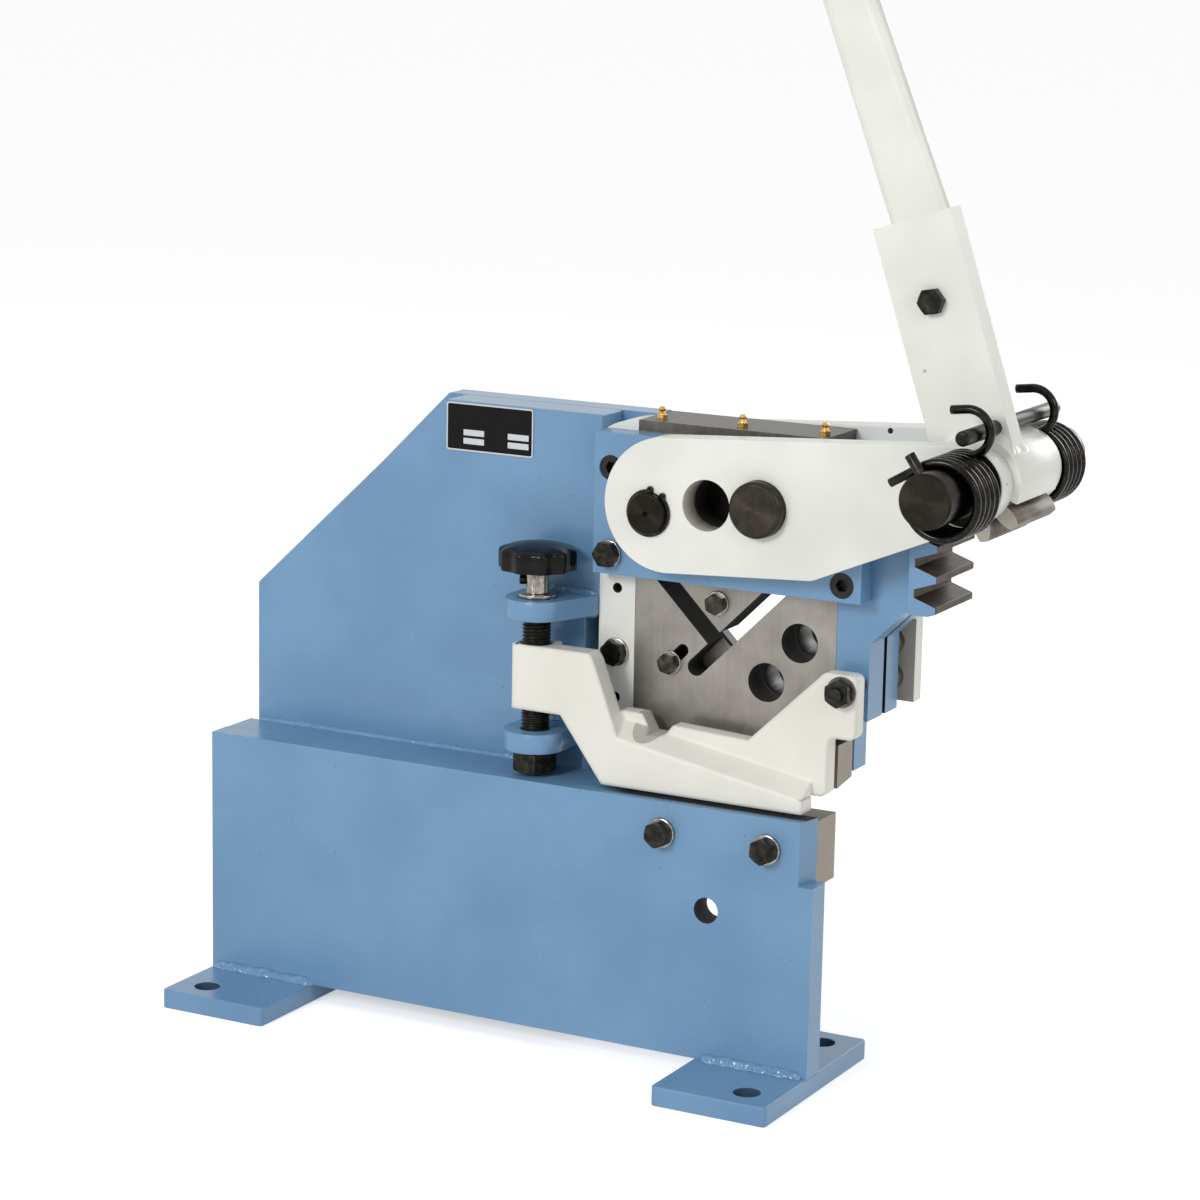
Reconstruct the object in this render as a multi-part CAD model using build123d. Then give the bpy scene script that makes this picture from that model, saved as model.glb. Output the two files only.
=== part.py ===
from build123d import *
import math
import os

os.makedirs("parts", exist_ok=True)

# Hand lever shear for flat, angle and round bar. Sizes are in millimetres.
# X runs from the base plate's left end, Y back from its front face, Z up from the floor.
# The finished pieces are moved so that the origin is the middle of the four foot holes.

# Feet and base plate
base_length = 480.0
base_height = 177.0
base_thick = 20.0
step_height = 44.0
step_depth = 10.5
step_slant = 4.0
base_hole = 18.0
base_hole_inset = 78.5
base_hole_drop = 71.0
foot_length = 85.0
foot_thick = 14.0
foot_toe = 64.0
foot_corner = 3.0
foot_hole = 18.0
foot_inset_x = 24.0
foot_inset_y = 22.0

# Layers of the head from front to back
arm_thick = 18.0
arm_gap = 1.0
cover_thick = 18.0
ledge_thick = 30.0
head_thick = 24.0
die_thick = 5.0
main_thick = 20.0

# Body plates
head_height = 251.0
ledge_height = 71.0
body_left = 7.0
shoulder_run = 157.0
shoulder_rise = 148.0
body_relief = 10.5
body_relief_rise = 111.0
main_shoulder_run = 150.0
leg_right = 300.0
leg_corner = 14.0
limb_rise = 19.0
limb_step_rise = 62.0
limb_step_width = 21.5

# Slide, its guides and its clearances
gib_width = 27.85
gib_rise = 45.0
gib_crown = 45.0
gib_bolt_rise = 87.0
gib_hole_low = 54.8
gib_hole_high = 132.0
gib_hole = 7.0
slide_left = 317.0
slide_width = 152.0
slide_rise = 43.0
slide_clear = 0.15
column_width = 24.35
column_screw_low = 140.0
column_screw_high = 214.0
bridge_thick = 8.0
bridge_length = 140.0
bridge_drop = 0.5
headroom = 2.5
die_setback = 6.0
cover_rise = 145.0
cover_lap = 24.0
cover_line = 11.5
cover_bolt_rise = 159.4
cover_screw_left_rise = 218.5
cover_screw_low = 156.3
cover_screw_high = 229.0
cover_screw_set = 2.0
press_fit = 0.02
run_fit = 0.05
face_gap = 0.1

# Angle slot and bar bores through slide, die plate and main plate
slot_x = 382.0
slot_rise = 101.0
slot_width = 12.5
slot_arm = 62.0
slot_relief = 24.5
slot_room = 11.5
bar_bore = 27.0
bore_room = 0.5
upper_bore_x = 442.0
upper_bore_rise = 109.5
lower_bore_x = 418.0
lower_bore_rise = 79.5

# Blades
blade_height = 46.0
blade_drop = 3.0
blade_overhang = 4.0
blade_gap = 0.25
upper_blade_height = 30.0
upper_blade_rake = 5.0
upper_blade_relief = 3.5
blade_screw = 8.0
blade_screw_head = 13.0
blade_screw_count = 3
blade_bolt_first = 366.5
blade_bolt_pitch = 79.0
blade_bolt_drop = 21.5

# Lever mechanism: main pivot, drive pin and toggle shaft, seen from the front
pivot_x = 345.0
pivot_rise = 194.5
pivot_pin = 28.0
pin_proud = 6.0
ring_thick = 2.0
ring_width = 2.2
ring_split = 5.0
ring_turn = 68.0
groove_depth = 0.8
drive_x = 427.0
drive_rise = 205.5
drive_pin = 38.0
drive_proud = 9.5
drive_play = 1.5
drive_lash = 0.25
peep_x = 387.3
peep_rise = 203.6
peep_hole = 34.5
shaft_x = 571.5
shaft_rise = 234.5
shaft_diameter = 36.0
shaft_reach = 66.0
arm_swing = 14.0
arm_heel_x = 12.0
arm_heel_z = 6.0
arm_heel_radius = 46.0
arm_elbow_x = 119.0
arm_elbow_z = -25.5
arm_elbow_radius = 8.0
arm_nose_radius = 26.0

# Rack and pinion
tooth_pitch = 20.5
pinion_teeth = 10
pinion_segment_teeth = 4
pinion_first_step = -2
pinion_tip = 38.5
pinion_root = 24.5
pinion_root_half = 4.2
pinion_mid = 32.5
pinion_mid_half = 5.2
pinion_tip_half = 2.8
segment_start = 178.0
segment_end = 338.0
mesh_drop = 57.5
rack_addendum = 7.1
rack_dedendum = 8.4
rack_web = 4.8
rack_tip_half = 2.2
rack_root_half = 7.6
rack_foot_drop = 92.5
rack_head_drop = 14.0
rack_side = 15.5
bracket_lap = 2.4
bracket_flat = 7.6
bracket_corner = 15.5

# Torsion springs and their pins
wire = 6.0
coil_radius = 24.8
coil_pitch = 7.6
coil_turns = 5
coil_gap = 0.5
coil_play = 0.5
leg_angle = 125.0
leg_length = 22.0
hook_radius = 14.8
hook_gap = 1.5
hook_end = 100.0
hook_tail = 10.0
anchor_x = 8.0
anchor_z = 35.5
anchor_diameter = 10.0
anchor_reach = 28.0
cross_pin = 7.0
cross_pin_reach = 32.0
cross_pin_seat = 10.0
cross_pin_gap = 0.3

# Handle
hub_diameter = 62.0
hub_play = 0.5
lever_angle = 18.5
lever_width = 56.0
lever_length = 175.0
lever_thick = 18.0
lever_set = 9.0
lever_bolt_at = 120.0
tube_askew = 3.2
tube_diameter = 32.0
tube_wall = 3.5
tube_flat = 12.0
tube_flat_width = 42.5
tube_start = 96.0
tube_flat_end = 176.0
tube_neck_at = 330.0
tube_neck_width = 37.5
tube_neck_depth = 16.0
tube_round_start = 430.0
tube_end = 1000.0
plug_cap = 4.0
plug_depth = 20.0

# Fasteners
bolt = 12.0
bolt_flats = 19.0
bolt_head = 7.5
washer_diameter = 24.0
washer_thick = 2.5
small_bolt = 10.0
small_flats = 17.0
small_head = 6.4
small_washer = 21.0
small_washer_thick = 2.0
small_nut = 8.0
thread_end = 3.0
socket_screw = 10.0
socket_head = 17.0
socket_head_height = 10.0
socket_hex = 8.0
bolt_clearance = 0.5

# Hold-down and its spindle
spindle_x = 255.6
spindle_set = 28.5
spindle_diameter = 20.0
spindle_neck = 10.0
eye_radius = 22.1
eye_thick = 14.0
upper_eye_rise = 111.5
lower_eye_rise = 18.3
eye_root_left = 21.0
eye_root_right = 33.0
block_half_x = 13.6
block_half_y = 12.5
block_corner = 4.0
block_low = 47.3
block_high = 93.2
block_way = 20.8
block_way_run = 1.2
neck_run = 26.0
bar_thick = 16.0
bar_lift = 2.8
bar_left = 314.5
bar_right = 465.8
bar_root_height = 34.0
bar_end_height = 9.5
bar_blend = 10.0
hold_thick = 13.0
hold_rise = 13.0
tab_rise = 54.0
tab_left = 9.0
tab_right = 10.7
tab_crown = 13.0
tab_height = 11.5
stud_set = 4.0
stud_spacer = 14.0
stud_rise = 86.5
notch_rise = 40.0
notch_left = 0.6
notch_right = 10.0
ear_rise = 52.5
ear_right = 7.8
ear_width = 18.2
deck_left = 15.6
deck_left_rise = 47.2
deck_right = 417.1
deck_right_rise = 44.4
hold_corner = 5.0
knob_diameter = 55.0
knob_height = 19.3
knob_dome = 5.8
knob_flutes = 10
knob_flute = 8.0
knob_flute_depth = 2.4
knob_round = 2.5
collar_diameter = 16.0
collar_height = 16.4
flange_diameter = 28.0
flange_height = 3.0
spindle_nut_flats = 30.0
spindle_nut_height = 15.5
spindle_end = 1.0

# Knife bolts on the slide's face
knife_bolt_x = 380.0
knife_bolt_rise = 130.0
stop_bolt_x = 345.0
stop_bolt_rise = 84.5
stop_slot_angle = 46.0
stop_slot_back = 3.0
stop_slot_ahead = 13.4
knife_bolt = 8.0
knife_flats = 13.0
knife_head = 5.3
knife_washer = 17.0
knife_washer_thick = 1.6

# Rear guide plate
guide_right = 502.0
guide_width = 36.0
guide_low = 65.0
guide_height = 58.0
guide_thick = 12.0
guide_spacer = 9.0
guide_spacer_diameter = 18.0
guide_bolt_x = 485.0
guide_bolt_inset = 17.0

# Grease nipples
nipple_thread = 5.0
nipple_flats = 7.0
nipple_height = 8.5
nipple_seat = 6.0
nipple_set = 12.0
nipple_inset = 11.5

# Planes that the pieces share
base_back = base_thick
head_front = base_back + ledge_thick
head_back = head_front + head_thick
main_front = head_back + die_thick
main_back = main_front + main_thick
cover_front = head_front - cover_thick
arm_back = cover_front - arm_gap
arm_front = arm_back - arm_thick
rear_arm_front = main_back + arm_gap
rear_arm_back = rear_arm_front + arm_thick
slide_front = head_front + slide_clear
slide_back = head_back - slide_clear
foot_depth = foot_toe + main_back
base_top = foot_thick + base_height
head_top = base_top + head_height
bridge_top = head_top - bridge_drop
bridge_low = bridge_top - bridge_thick
slide_low = base_top + slide_rise
slide_high = bridge_low - headroom
slide_right = slide_left + slide_width
gib_right = slide_left - slide_clear
gib_left = gib_right - gib_width
column_left = slide_right + slide_clear
column_right = column_left + column_width
pivot_z = base_top + pivot_rise
drive_z = base_top + drive_rise
shaft_z = base_top + shaft_rise

# Travel of the slide: how far the drive pin comes down when the arms swing
drive_radius = math.hypot(drive_x - pivot_x, drive_z - pivot_z)
drive_start = math.atan2(drive_z - pivot_z, drive_x - pivot_x)
drive_end = drive_start - math.radians(arm_swing)
travel = drive_radius * (math.sin(drive_start) - math.sin(drive_end))

# Rolling circle of the pinion, which touches the rack's pitch line at rest
pitch_radius = tooth_pitch * pinion_teeth / (2 * math.pi)
rack_line = shaft_x - pitch_radius
rack_tip = rack_line + rack_addendum
rack_root = rack_line - rack_dedendum
rack_back = rack_root - rack_web
rack_low = shaft_z - rack_foot_drop
rack_high = shaft_z - rack_head_drop

to_origin = Pos(-base_length / 2, foot_toe - foot_depth / 2, 0)


def save(name, *solids):
    shape = solids[0] if len(solids) == 1 else Compound(list(solids))
    export_step(to_origin * shape, f"parts/{name}.step")


def plate(outline, front, back):
    """Upright plate: an outline across X and Z, thick from the front plane to the back one."""
    return extrude(Plane.XZ.offset(-back) * outline, amount=back - front)


def disc(x, z, diameter, front, back):
    return plate(Pos(x, z) * Circle(diameter / 2), front, back)


def ring(x, z, outer, inner, front, back):
    return plate(Pos(x, z) * (Circle(outer / 2) - Circle(inner / 2)), front, back)


def rect(left, low, right, high):
    return Pos((left + right) / 2, (low + high) / 2) * Rectangle(right - left, high - low)


def long_slot(x, z, angle, back, ahead, width):
    """Round-ended slot through a point, running back and ahead of it along an angle."""
    middle = Pos((ahead - back) / 2, 0) * SlotCenterToCenter(back + ahead, width)
    return Pos(x, z) * Rot(0, 0, angle) * middle


def hex_head(x, z, flats, front, back):
    """Hexagon with its front corners turned off."""
    blank = disc(x, z, flats * 2 / math.sqrt(3), front, back)
    turned = chamfer(blank.edges().group_by(Axis.Y)[0], (back - front) * 0.2)
    return plate(Pos(x, z) * RegularPolygon(flats / 2, 6, major_radius=False), front, back) & turned


def hex_bolt(x, z, seat, size, flats, head, reach):
    return hex_head(x, z, flats, seat - head, seat) + disc(x, z, size, seat, seat + reach)


def socket_cap(x, z, seat, reach):
    """Socket screw whose head lies behind its front face, in a counterbore."""
    head = disc(x, z, socket_head, seat - socket_head_height, seat)
    key = Pos(x, z) * RegularPolygon(socket_hex / 2, 6, major_radius=False)
    head -= plate(key, seat - socket_head_height, seat - socket_head_height * 0.4)
    return head + disc(x, z, socket_screw, seat, seat + reach)


def counterbore(x, z, front, depth, back):
    hole = disc(x, z, socket_screw + bolt_clearance, front, back)
    return hole + disc(x, z, socket_head + bolt_clearance, front, front + depth)


# Feet: flat pads with rounded corners, each with a bolt hole before and behind the plates
foot_y = foot_depth / 2 - foot_toe
foot_outline = RectangleRounded(foot_length, foot_depth, foot_corner)
hole_y = foot_depth / 2 - foot_inset_y


def foot(middle_x, hole_x):
    pad = extrude(Pos(middle_x, foot_y) * foot_outline, amount=foot_thick)
    for y in (foot_y - hole_y, foot_y + hole_y):
        pad -= extrude(Pos(hole_x, y) * Circle(foot_hole / 2), amount=foot_thick)
    return pad


save("left_foot", foot(foot_length / 2, foot_inset_x))
save("right_foot", foot(base_length - foot_length / 2, base_length - foot_inset_x))

# Base plate: stepped back at the upper right by a cut a little askew, so that the blade's end stands free
step_x = base_length - step_depth
step_z = base_top - step_height
base_plate = plate(rect(0, foot_thick, base_length, base_top), 0, base_back)
step_outline = Polygon(
    (step_x, 0),
    (base_length, 0),
    (base_length, base_back),
    (step_x + step_slant, base_back),
    align=None,
)
base_plate -= Pos(0, 0, step_z) * extrude(step_outline, amount=step_height)
blade_bolt_z = base_top - blade_bolt_drop
blade_bolt_xs = (blade_bolt_first, blade_bolt_first + blade_bolt_pitch)
for x in blade_bolt_xs:
    base_plate -= disc(x, blade_bolt_z, bolt + bolt_clearance, 0, base_back)
base_plate -= disc(base_length - base_hole_inset, base_top - base_hole_drop, base_hole, 0, base_back)
save("base_plate", base_plate)

# Lower blade, held to the back of the base plate by two hexagon bolts
blade_top = base_top - blade_drop
blade_back = slide_front - blade_gap
blade_right = slide_right + blade_overhang
blade_outline = rect(slide_left, blade_top - blade_height, blade_right, blade_top)
lower_blade = plate(blade_outline, base_back, blade_back)
blade_bolts = []
blade_washers = []
bolt_reach = base_back + washer_thick + ledge_thick * 0.6
for x in blade_bolt_xs:
    lower_blade -= disc(x, blade_bolt_z, bolt + 2 * press_fit, base_back, bolt_reach)
    blade_bolts.append(hex_bolt(x, blade_bolt_z, -washer_thick, bolt, bolt_flats, bolt_head, bolt_reach))
    blade_washers.append(ring(x, blade_bolt_z, washer_diameter, bolt + bolt_clearance, -washer_thick, 0))
save("lower_blade", lower_blade)
save("lower_blade_bolts", *blade_bolts)
save("lower_blade_washers", *blade_washers)

# Ledge block and body plate, which stack the body out to the head's front plane
ledge_low = base_top - ledge_height
save("ledge_block", plate(rect(0, ledge_low, gib_right, base_top), base_back, head_front))
body_outline = Polygon(
    (body_left, ledge_low),
    (gib_left - body_relief, ledge_low),
    (gib_left - body_relief, base_top + body_relief_rise),
    (gib_left, base_top + body_relief_rise),
    (gib_left, head_top),
    (body_left + shoulder_run, head_top),
    (body_left, head_top - shoulder_rise),
    align=None,
)
save("body_plate", plate(body_outline, head_front, main_front))

# Shapes that are cut through several plates of the head
slot_z = base_top + slot_rise


def angle_slot(width, relief=0.0):
    """Two arms square to each other; in the slide the right one runs on past the corner as a relief."""
    left_arm = long_slot(slot_x, slot_z, 135, 0, slot_arm, width)
    right_arm = long_slot(slot_x, slot_z, 45, relief, slot_arm, width)
    return left_arm + right_arm


def bar_bores(diameter):
    upper = Pos(upper_bore_x, base_top + upper_bore_rise) * Circle(diameter / 2)
    lower = Pos(lower_bore_x, base_top + lower_bore_rise) * Circle(diameter / 2)
    return upper + lower


def drive_way():
    """Upright slot that leaves the drive pin free all the way down."""
    room = drive_pin + 2 * drive_play + 1
    return long_slot(drive_x, drive_z, -90, 0, travel, room)


def bracket(left, low):
    """Right-hand end of the head, with a nose that reaches out to the rack's back."""
    nose_low = rack_low - bracket_lap
    nose_run = rack_back - column_right - bracket_flat
    return Polygon(
        (left, low),
        (column_right, low),
        (column_right, nose_low - nose_run),
        (column_right + nose_run, nose_low),
        (rack_back, nose_low),
        (rack_back, bridge_low - bracket_corner),
        (rack_back - bracket_corner, bridge_low),
        (left, bridge_low),
        align=None,
    )


# Main plate: a full-height leg at the left and a limb over the throat at the right
limb_low = base_top + limb_rise
limb_step = base_top + limb_step_rise
leg = Polygon(
    (0, foot_thick),
    (leg_right, foot_thick),
    (leg_right, head_top),
    (main_shoulder_run, head_top),
    (0, head_top - shoulder_rise),
    align=None,
)
limb = rect(leg_right, limb_low, column_right - limb_step_width, bridge_low)
main_outline = leg + limb + rect(leg_right, bridge_low, gib_right, head_top)
main_outline += bracket(column_right - limb_step_width, limb_step)
main_outline -= Pos(pivot_x, pivot_z) * Circle(pivot_pin / 2 + press_fit)
main_outline -= drive_way() + angle_slot(slot_width + slot_room) + bar_bores(bar_bore + bore_room)
main_plate = plate(main_outline, main_front, main_back)
leg_edges = main_plate.edges().filter_by(Axis.Y).filter_by_position(Axis.X, leg_right - 1, leg_right + 1)
main_plate = fillet(leg_edges.filter_by_position(Axis.Z, limb_low - 1, limb_low + 1), leg_corner)

# Guide gib: left guide of the slide, clamped to the main plate by one bolt
gib_low = base_top + gib_rise
gib_high = bridge_top - bridge_drop
gib_x = (gib_left + gib_right) / 2
gib_bolt_z = base_top + gib_bolt_rise
crown_z = gib_high - gib_crown
gib_outline = rect(gib_left, gib_low, gib_right, crown_z)
gib_outline += rect(gib_left, crown_z, gib_right, gib_high) & Pos(gib_right, crown_z) * Circle(gib_crown)
gib = plate(gib_outline, head_front, main_front)
gib -= disc(gib_x, gib_bolt_z, small_bolt + bolt_clearance, head_front, main_front)
for rise in (gib_hole_low, gib_hole_high):
    gib -= disc(gib_x, base_top + rise, gib_hole, head_front, main_front)
gib_seat = head_front - small_washer_thick
gib_reach = main_front - gib_seat + main_thick * 0.7
main_plate -= disc(gib_x, gib_bolt_z, small_bolt + 2 * press_fit, main_front, gib_seat + gib_reach)
save("gib_bolt", hex_bolt(gib_x, gib_bolt_z, gib_seat, small_bolt, small_flats, small_head, gib_reach))
save("gib_washer", ring(gib_x, gib_bolt_z, small_washer, small_bolt + bolt_clearance, gib_seat, head_front))

# Guide column: right guide of the slide, with the nose that carries the rack
column = plate(bracket(column_left, limb_step), head_front, head_back)

# Die plate: hardened counter-die between the slide and the main plate
die_outline = rect(gib_right, gib_low, column_right - limb_step_width, bridge_low)
die_outline += rect(column_right - limb_step_width, limb_step, column_right - die_setback, bridge_low)
die_outline -= Pos(pivot_x, pivot_z) * Circle(pivot_pin / 2 + bolt_clearance)
die_outline -= drive_way() + angle_slot(slot_width) + bar_bores(bar_bore)
die_plate = plate(die_outline, head_back, main_front)

# Column screws come from the rear, sunk so that the rear arm can pass over them
column_screw_x = column_left + column_width / 2
column_screws = []
for rise in (column_screw_low, column_screw_high):
    z = base_top + rise
    seat = main_back - socket_head_height - 1
    screw = socket_cap(column_screw_x, z, 0, seat - head_front - head_thick * 0.3)
    column_screws.append(Pos(2 * column_screw_x, seat, 0) * Rot(0, 0, 180) * screw)
    main_plate -= disc(column_screw_x, z, socket_head + bolt_clearance, seat, main_back)
    main_plate -= disc(column_screw_x, z, socket_screw + bolt_clearance, main_front, seat)
    die_plate -= disc(column_screw_x, z, socket_screw + bolt_clearance, head_back, main_front)
    column -= disc(column_screw_x, z, socket_screw + 2 * press_fit, head_front + head_thick * 0.3, head_back)
save("column_screws", *column_screws)
save("die_plate", die_plate)

# Cover plate over the top of the slide, from the gib to the column
cover_low = base_top + cover_rise
cover_high = bridge_low + bridge_drop
cover_left = gib_right - cover_lap
cover_outline = rect(cover_left, cover_low, column_right, cover_high)
cover_outline -= Pos(pivot_x, pivot_z) * Circle(pivot_pin / 2 + press_fit)
cover_outline -= Pos(peep_x, base_top + peep_rise) * Circle(peep_hole / 2)
cover_outline -= drive_way()
cover = plate(cover_outline, cover_front, head_front)
cover_x = gib_right - cover_line
cover_bolt_z = base_top + cover_bolt_rise
cover_seat = cover_front - small_washer_thick
cover_reach = cover_thick + small_washer_thick + head_thick * 0.8
cover -= disc(cover_x, cover_bolt_z, small_bolt + bolt_clearance, cover_front, head_front)
gib -= disc(cover_x, cover_bolt_z, small_bolt + 2 * press_fit, head_front, cover_seat + cover_reach)
cover_bolt = hex_bolt(cover_x, cover_bolt_z, cover_seat, small_bolt, small_flats, small_head, cover_reach)
save("cover_bolt", cover_bolt)
cover_washer = ring(cover_x, cover_bolt_z, small_washer, small_bolt + bolt_clearance, cover_seat, cover_front)
save("cover_washer", cover_washer)
screw_seat = cover_front + socket_head_height + 1
screw_reach = cover_thick * 0.9
cover_screws = []
cover_screw_places = (
    (cover_x, cover_screw_left_rise),
    (column_screw_x - cover_screw_set, cover_screw_low),
    (column_screw_x - cover_screw_set, cover_screw_high),
)
for x, rise in cover_screw_places:
    z = base_top + rise
    cover -= counterbore(x, z, cover_front, screw_seat - cover_front, head_front)
    tapped = disc(x, z, socket_screw + 2 * press_fit, head_front, screw_seat + screw_reach)
    gib -= tapped
    column -= tapped
    cover_screws.append(socket_cap(x, z, screw_seat, screw_reach))
save("cover_screws", *cover_screws)
save("cover_plate", cover)
save("guide_gib", gib)

# Top bridge closes the slide's way and feeds it with grease
bridge_right = slide_left + bridge_length
bridge = plate(rect(slide_left, bridge_low, bridge_right, bridge_top), head_front, main_back)
nipple_profile = Polygon(
    (0, -nipple_seat),
    (nipple_thread / 2, -nipple_seat),
    (nipple_thread / 2, nipple_height * 0.4),
    (nipple_thread * 0.3, nipple_height * 0.6),
    (nipple_thread * 0.55, nipple_height * 0.8),
    (nipple_thread * 0.3, nipple_height),
    (0, nipple_height),
    align=None,
)
nipple_body = revolve(Plane.XZ * nipple_profile, Axis.Z)
nipple_body += extrude(RegularPolygon(nipple_flats / 2, 6, major_radius=False), amount=nipple_height * 0.35)
nipples = []
nipple_step = (bridge_length - 2 * nipple_inset + 5) / 2
for index in range(3):
    place = Pos(slide_left + nipple_inset + index * nipple_step, head_front + nipple_set, bridge_top)
    hole = extrude(Circle(nipple_thread / 2 + press_fit), amount=-nipple_seat)
    bridge -= place * hole
    nipples.append(place * nipple_body)
save("top_bridge", bridge)
save("grease_nipples", *nipples)

# Rack: straight teeth that face the pinion, welded across the two noses
rack_outline = rect(rack_back, rack_low, rack_root, rack_high)
gap_z = shaft_z - mesh_drop
tooth_count = math.ceil((rack_high - rack_low) / tooth_pitch) + 2
for index in range(tooth_count):
    z = gap_z + (index - 2 + 0.5) * tooth_pitch
    tooth = Polygon(
        (rack_root, z - rack_root_half),
        (rack_tip, z - rack_tip_half),
        (rack_tip, z + rack_tip_half),
        (rack_root, z + rack_root_half),
        align=None,
    )
    rack_outline += tooth & rect(rack_back, rack_low, rack_tip, rack_high)
save("rack", plate(rack_outline, head_front - rack_side, main_back - 1))

# Eyes of the hold-down's spindle, welded to the body plate's face
spindle_y = head_front - spindle_set


def eye(rise, root_right):
    root_middle = spindle_x + (root_right - eye_root_left) / 2
    root = Pos(root_middle, head_front - 3) * Rectangle(eye_root_left + root_right, 6)
    end = Pos(spindle_x, spindle_y) * Circle(eye_radius)
    outline = make_hull(end.edges() + root.edges())
    outline -= Pos(spindle_x, spindle_y) * Circle(spindle_diameter / 2 + run_fit)
    return Pos(0, 0, base_top + rise) * extrude(outline, amount=eye_thick)


save("upper_eye", eye(upper_eye_rise, eye_root_right))
save("lower_eye", eye(lower_eye_rise, eye_root_left))

# Main pivot pin, fast in cover and main plate, with a retaining ring outside each arm
pin_front = arm_front - pin_proud
pin_back = rear_arm_back + pin_proud
pivot = disc(pivot_x, pivot_z, pivot_pin, pin_front, pin_back)
pivot = chamfer(pivot.edges().filter_by(GeomType.CIRCLE), 1)
groove = pivot_pin - 2 * groove_depth
ring_outline = Circle(pivot_pin / 2 + ring_width) - Circle(groove / 2 + press_fit)
ring_outline -= Pos(pivot_pin / 2, 0) * Rectangle(pivot_pin, ring_split)
retainers = []
for front in (arm_front - face_gap - ring_thick, rear_arm_back + face_gap):
    back = front + ring_thick
    pivot -= ring(pivot_x, pivot_z, pivot_pin + 2, groove, front - run_fit, back + run_fit)
    retainers.append(plate(Pos(pivot_x, pivot_z) * Rot(0, 0, ring_turn) * ring_outline, front, back))
save("pivot_pin", pivot)
save("pivot_rings", *retainers)

# Hold-down stud in the column, with its spacer, washer and nut
stud_x = column_screw_x + stud_set
stud_z = base_top + stud_rise
bar_front = spindle_y - block_half_y
bar_back = bar_front + bar_thick
hold_back = bar_back + hold_thick
nut_seat = bar_back - face_gap - small_washer_thick
stud_front = nut_seat - small_nut - thread_end
stud_depth = head_front + head_thick * 0.8
stud_fit = small_bolt + 2 * press_fit
column -= disc(stud_x, stud_z, stud_fit, head_front, stud_depth)
save("guide_column", column)
save("hold_stud", disc(stud_x, stud_z, small_bolt, stud_front, stud_depth))
spacer = ring(stud_x, stud_z, stud_spacer, stud_fit, hold_back + face_gap, head_front)
washer = ring(stud_x, stud_z, small_washer, stud_fit, nut_seat, bar_back - face_gap)
save("hold_washers", spacer, washer)
nut = hex_head(stud_x, stud_z, small_flats, nut_seat - small_nut, nut_seat)
save("hold_nut", nut - disc(stud_x, stud_z, stud_fit, stud_front, nut_seat))

# Rear guide plate, spaced off the main plate under the rear arm
guide_z = base_top + guide_low
guide_front = main_back + guide_spacer
guide_back = guide_front + guide_thick
guide_outline = rect(guide_right - guide_width, guide_z, guide_right, guide_z + guide_height)
guide = plate(guide_outline, guide_front, guide_back)
guide_spacers = []
guide_bolts = []
for z in (guide_z + guide_bolt_inset, guide_z + guide_height - guide_bolt_inset):
    guide -= disc(guide_bolt_x, z, small_bolt + bolt_clearance, guide_front, guide_back)
    tapped = disc(guide_bolt_x, z, small_bolt + 2 * press_fit, main_back - main_thick * 0.8, main_back)
    main_plate -= tapped
    sleeve = ring(guide_bolt_x, z, guide_spacer_diameter, small_bolt + bolt_clearance, main_back, guide_front)
    guide_spacers.append(sleeve)
    reach = guide_thick + guide_spacer + main_thick * 0.8
    stem = hex_bolt(guide_bolt_x, z, 0, small_bolt, small_flats, small_head, reach)
    guide_bolts.append(Pos(2 * guide_bolt_x, guide_back, 0) * Rot(0, 0, 180) * stem)
save("rear_guide", guide)
save("rear_guide_spacers", *guide_spacers)
save("rear_guide_bolts", *guide_bolts)
save("main_plate", main_plate)

# Slide plate with the drive pin's oblong, the pivot pin's way and the cutting openings
slide_outline = rect(slide_left, slide_low, slide_right, slide_high)
slide_outline -= angle_slot(slot_width, slot_relief) + bar_bores(bar_bore)
slide_outline -= long_slot(pivot_x, pivot_z, 90, 0, travel, pivot_pin + 2)
slide_outline -= long_slot(drive_x, drive_z, 0, drive_play, drive_play, drive_pin + 2 * drive_lash)
stop_bolt_z = base_top + stop_bolt_rise
knife_bolt_z = base_top + knife_bolt_rise
stop_width = knife_bolt + bolt_clearance
stop_slot = long_slot(stop_bolt_x, stop_bolt_z, stop_slot_angle, stop_slot_back, stop_slot_ahead, stop_width)
slide_outline -= stop_slot
slide_outline -= Pos(knife_bolt_x, knife_bolt_z) * Circle(stop_width / 2)
slide = plate(slide_outline, slide_front, slide_back)
knife_bolts = []
knife_washers = []
for x, z in ((knife_bolt_x, knife_bolt_z), (stop_bolt_x, stop_bolt_z)):
    seat = slide_front - knife_washer_thick
    reach = slide_back - seat - 1
    knife_bolts.append(hex_bolt(x, z, seat, knife_bolt, knife_flats, knife_head, reach))
    knife_washers.append(ring(x, z, knife_washer, stop_width, seat, slide_front))
save("knife_bolts", *knife_bolts)
save("knife_washers", *knife_washers)

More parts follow.
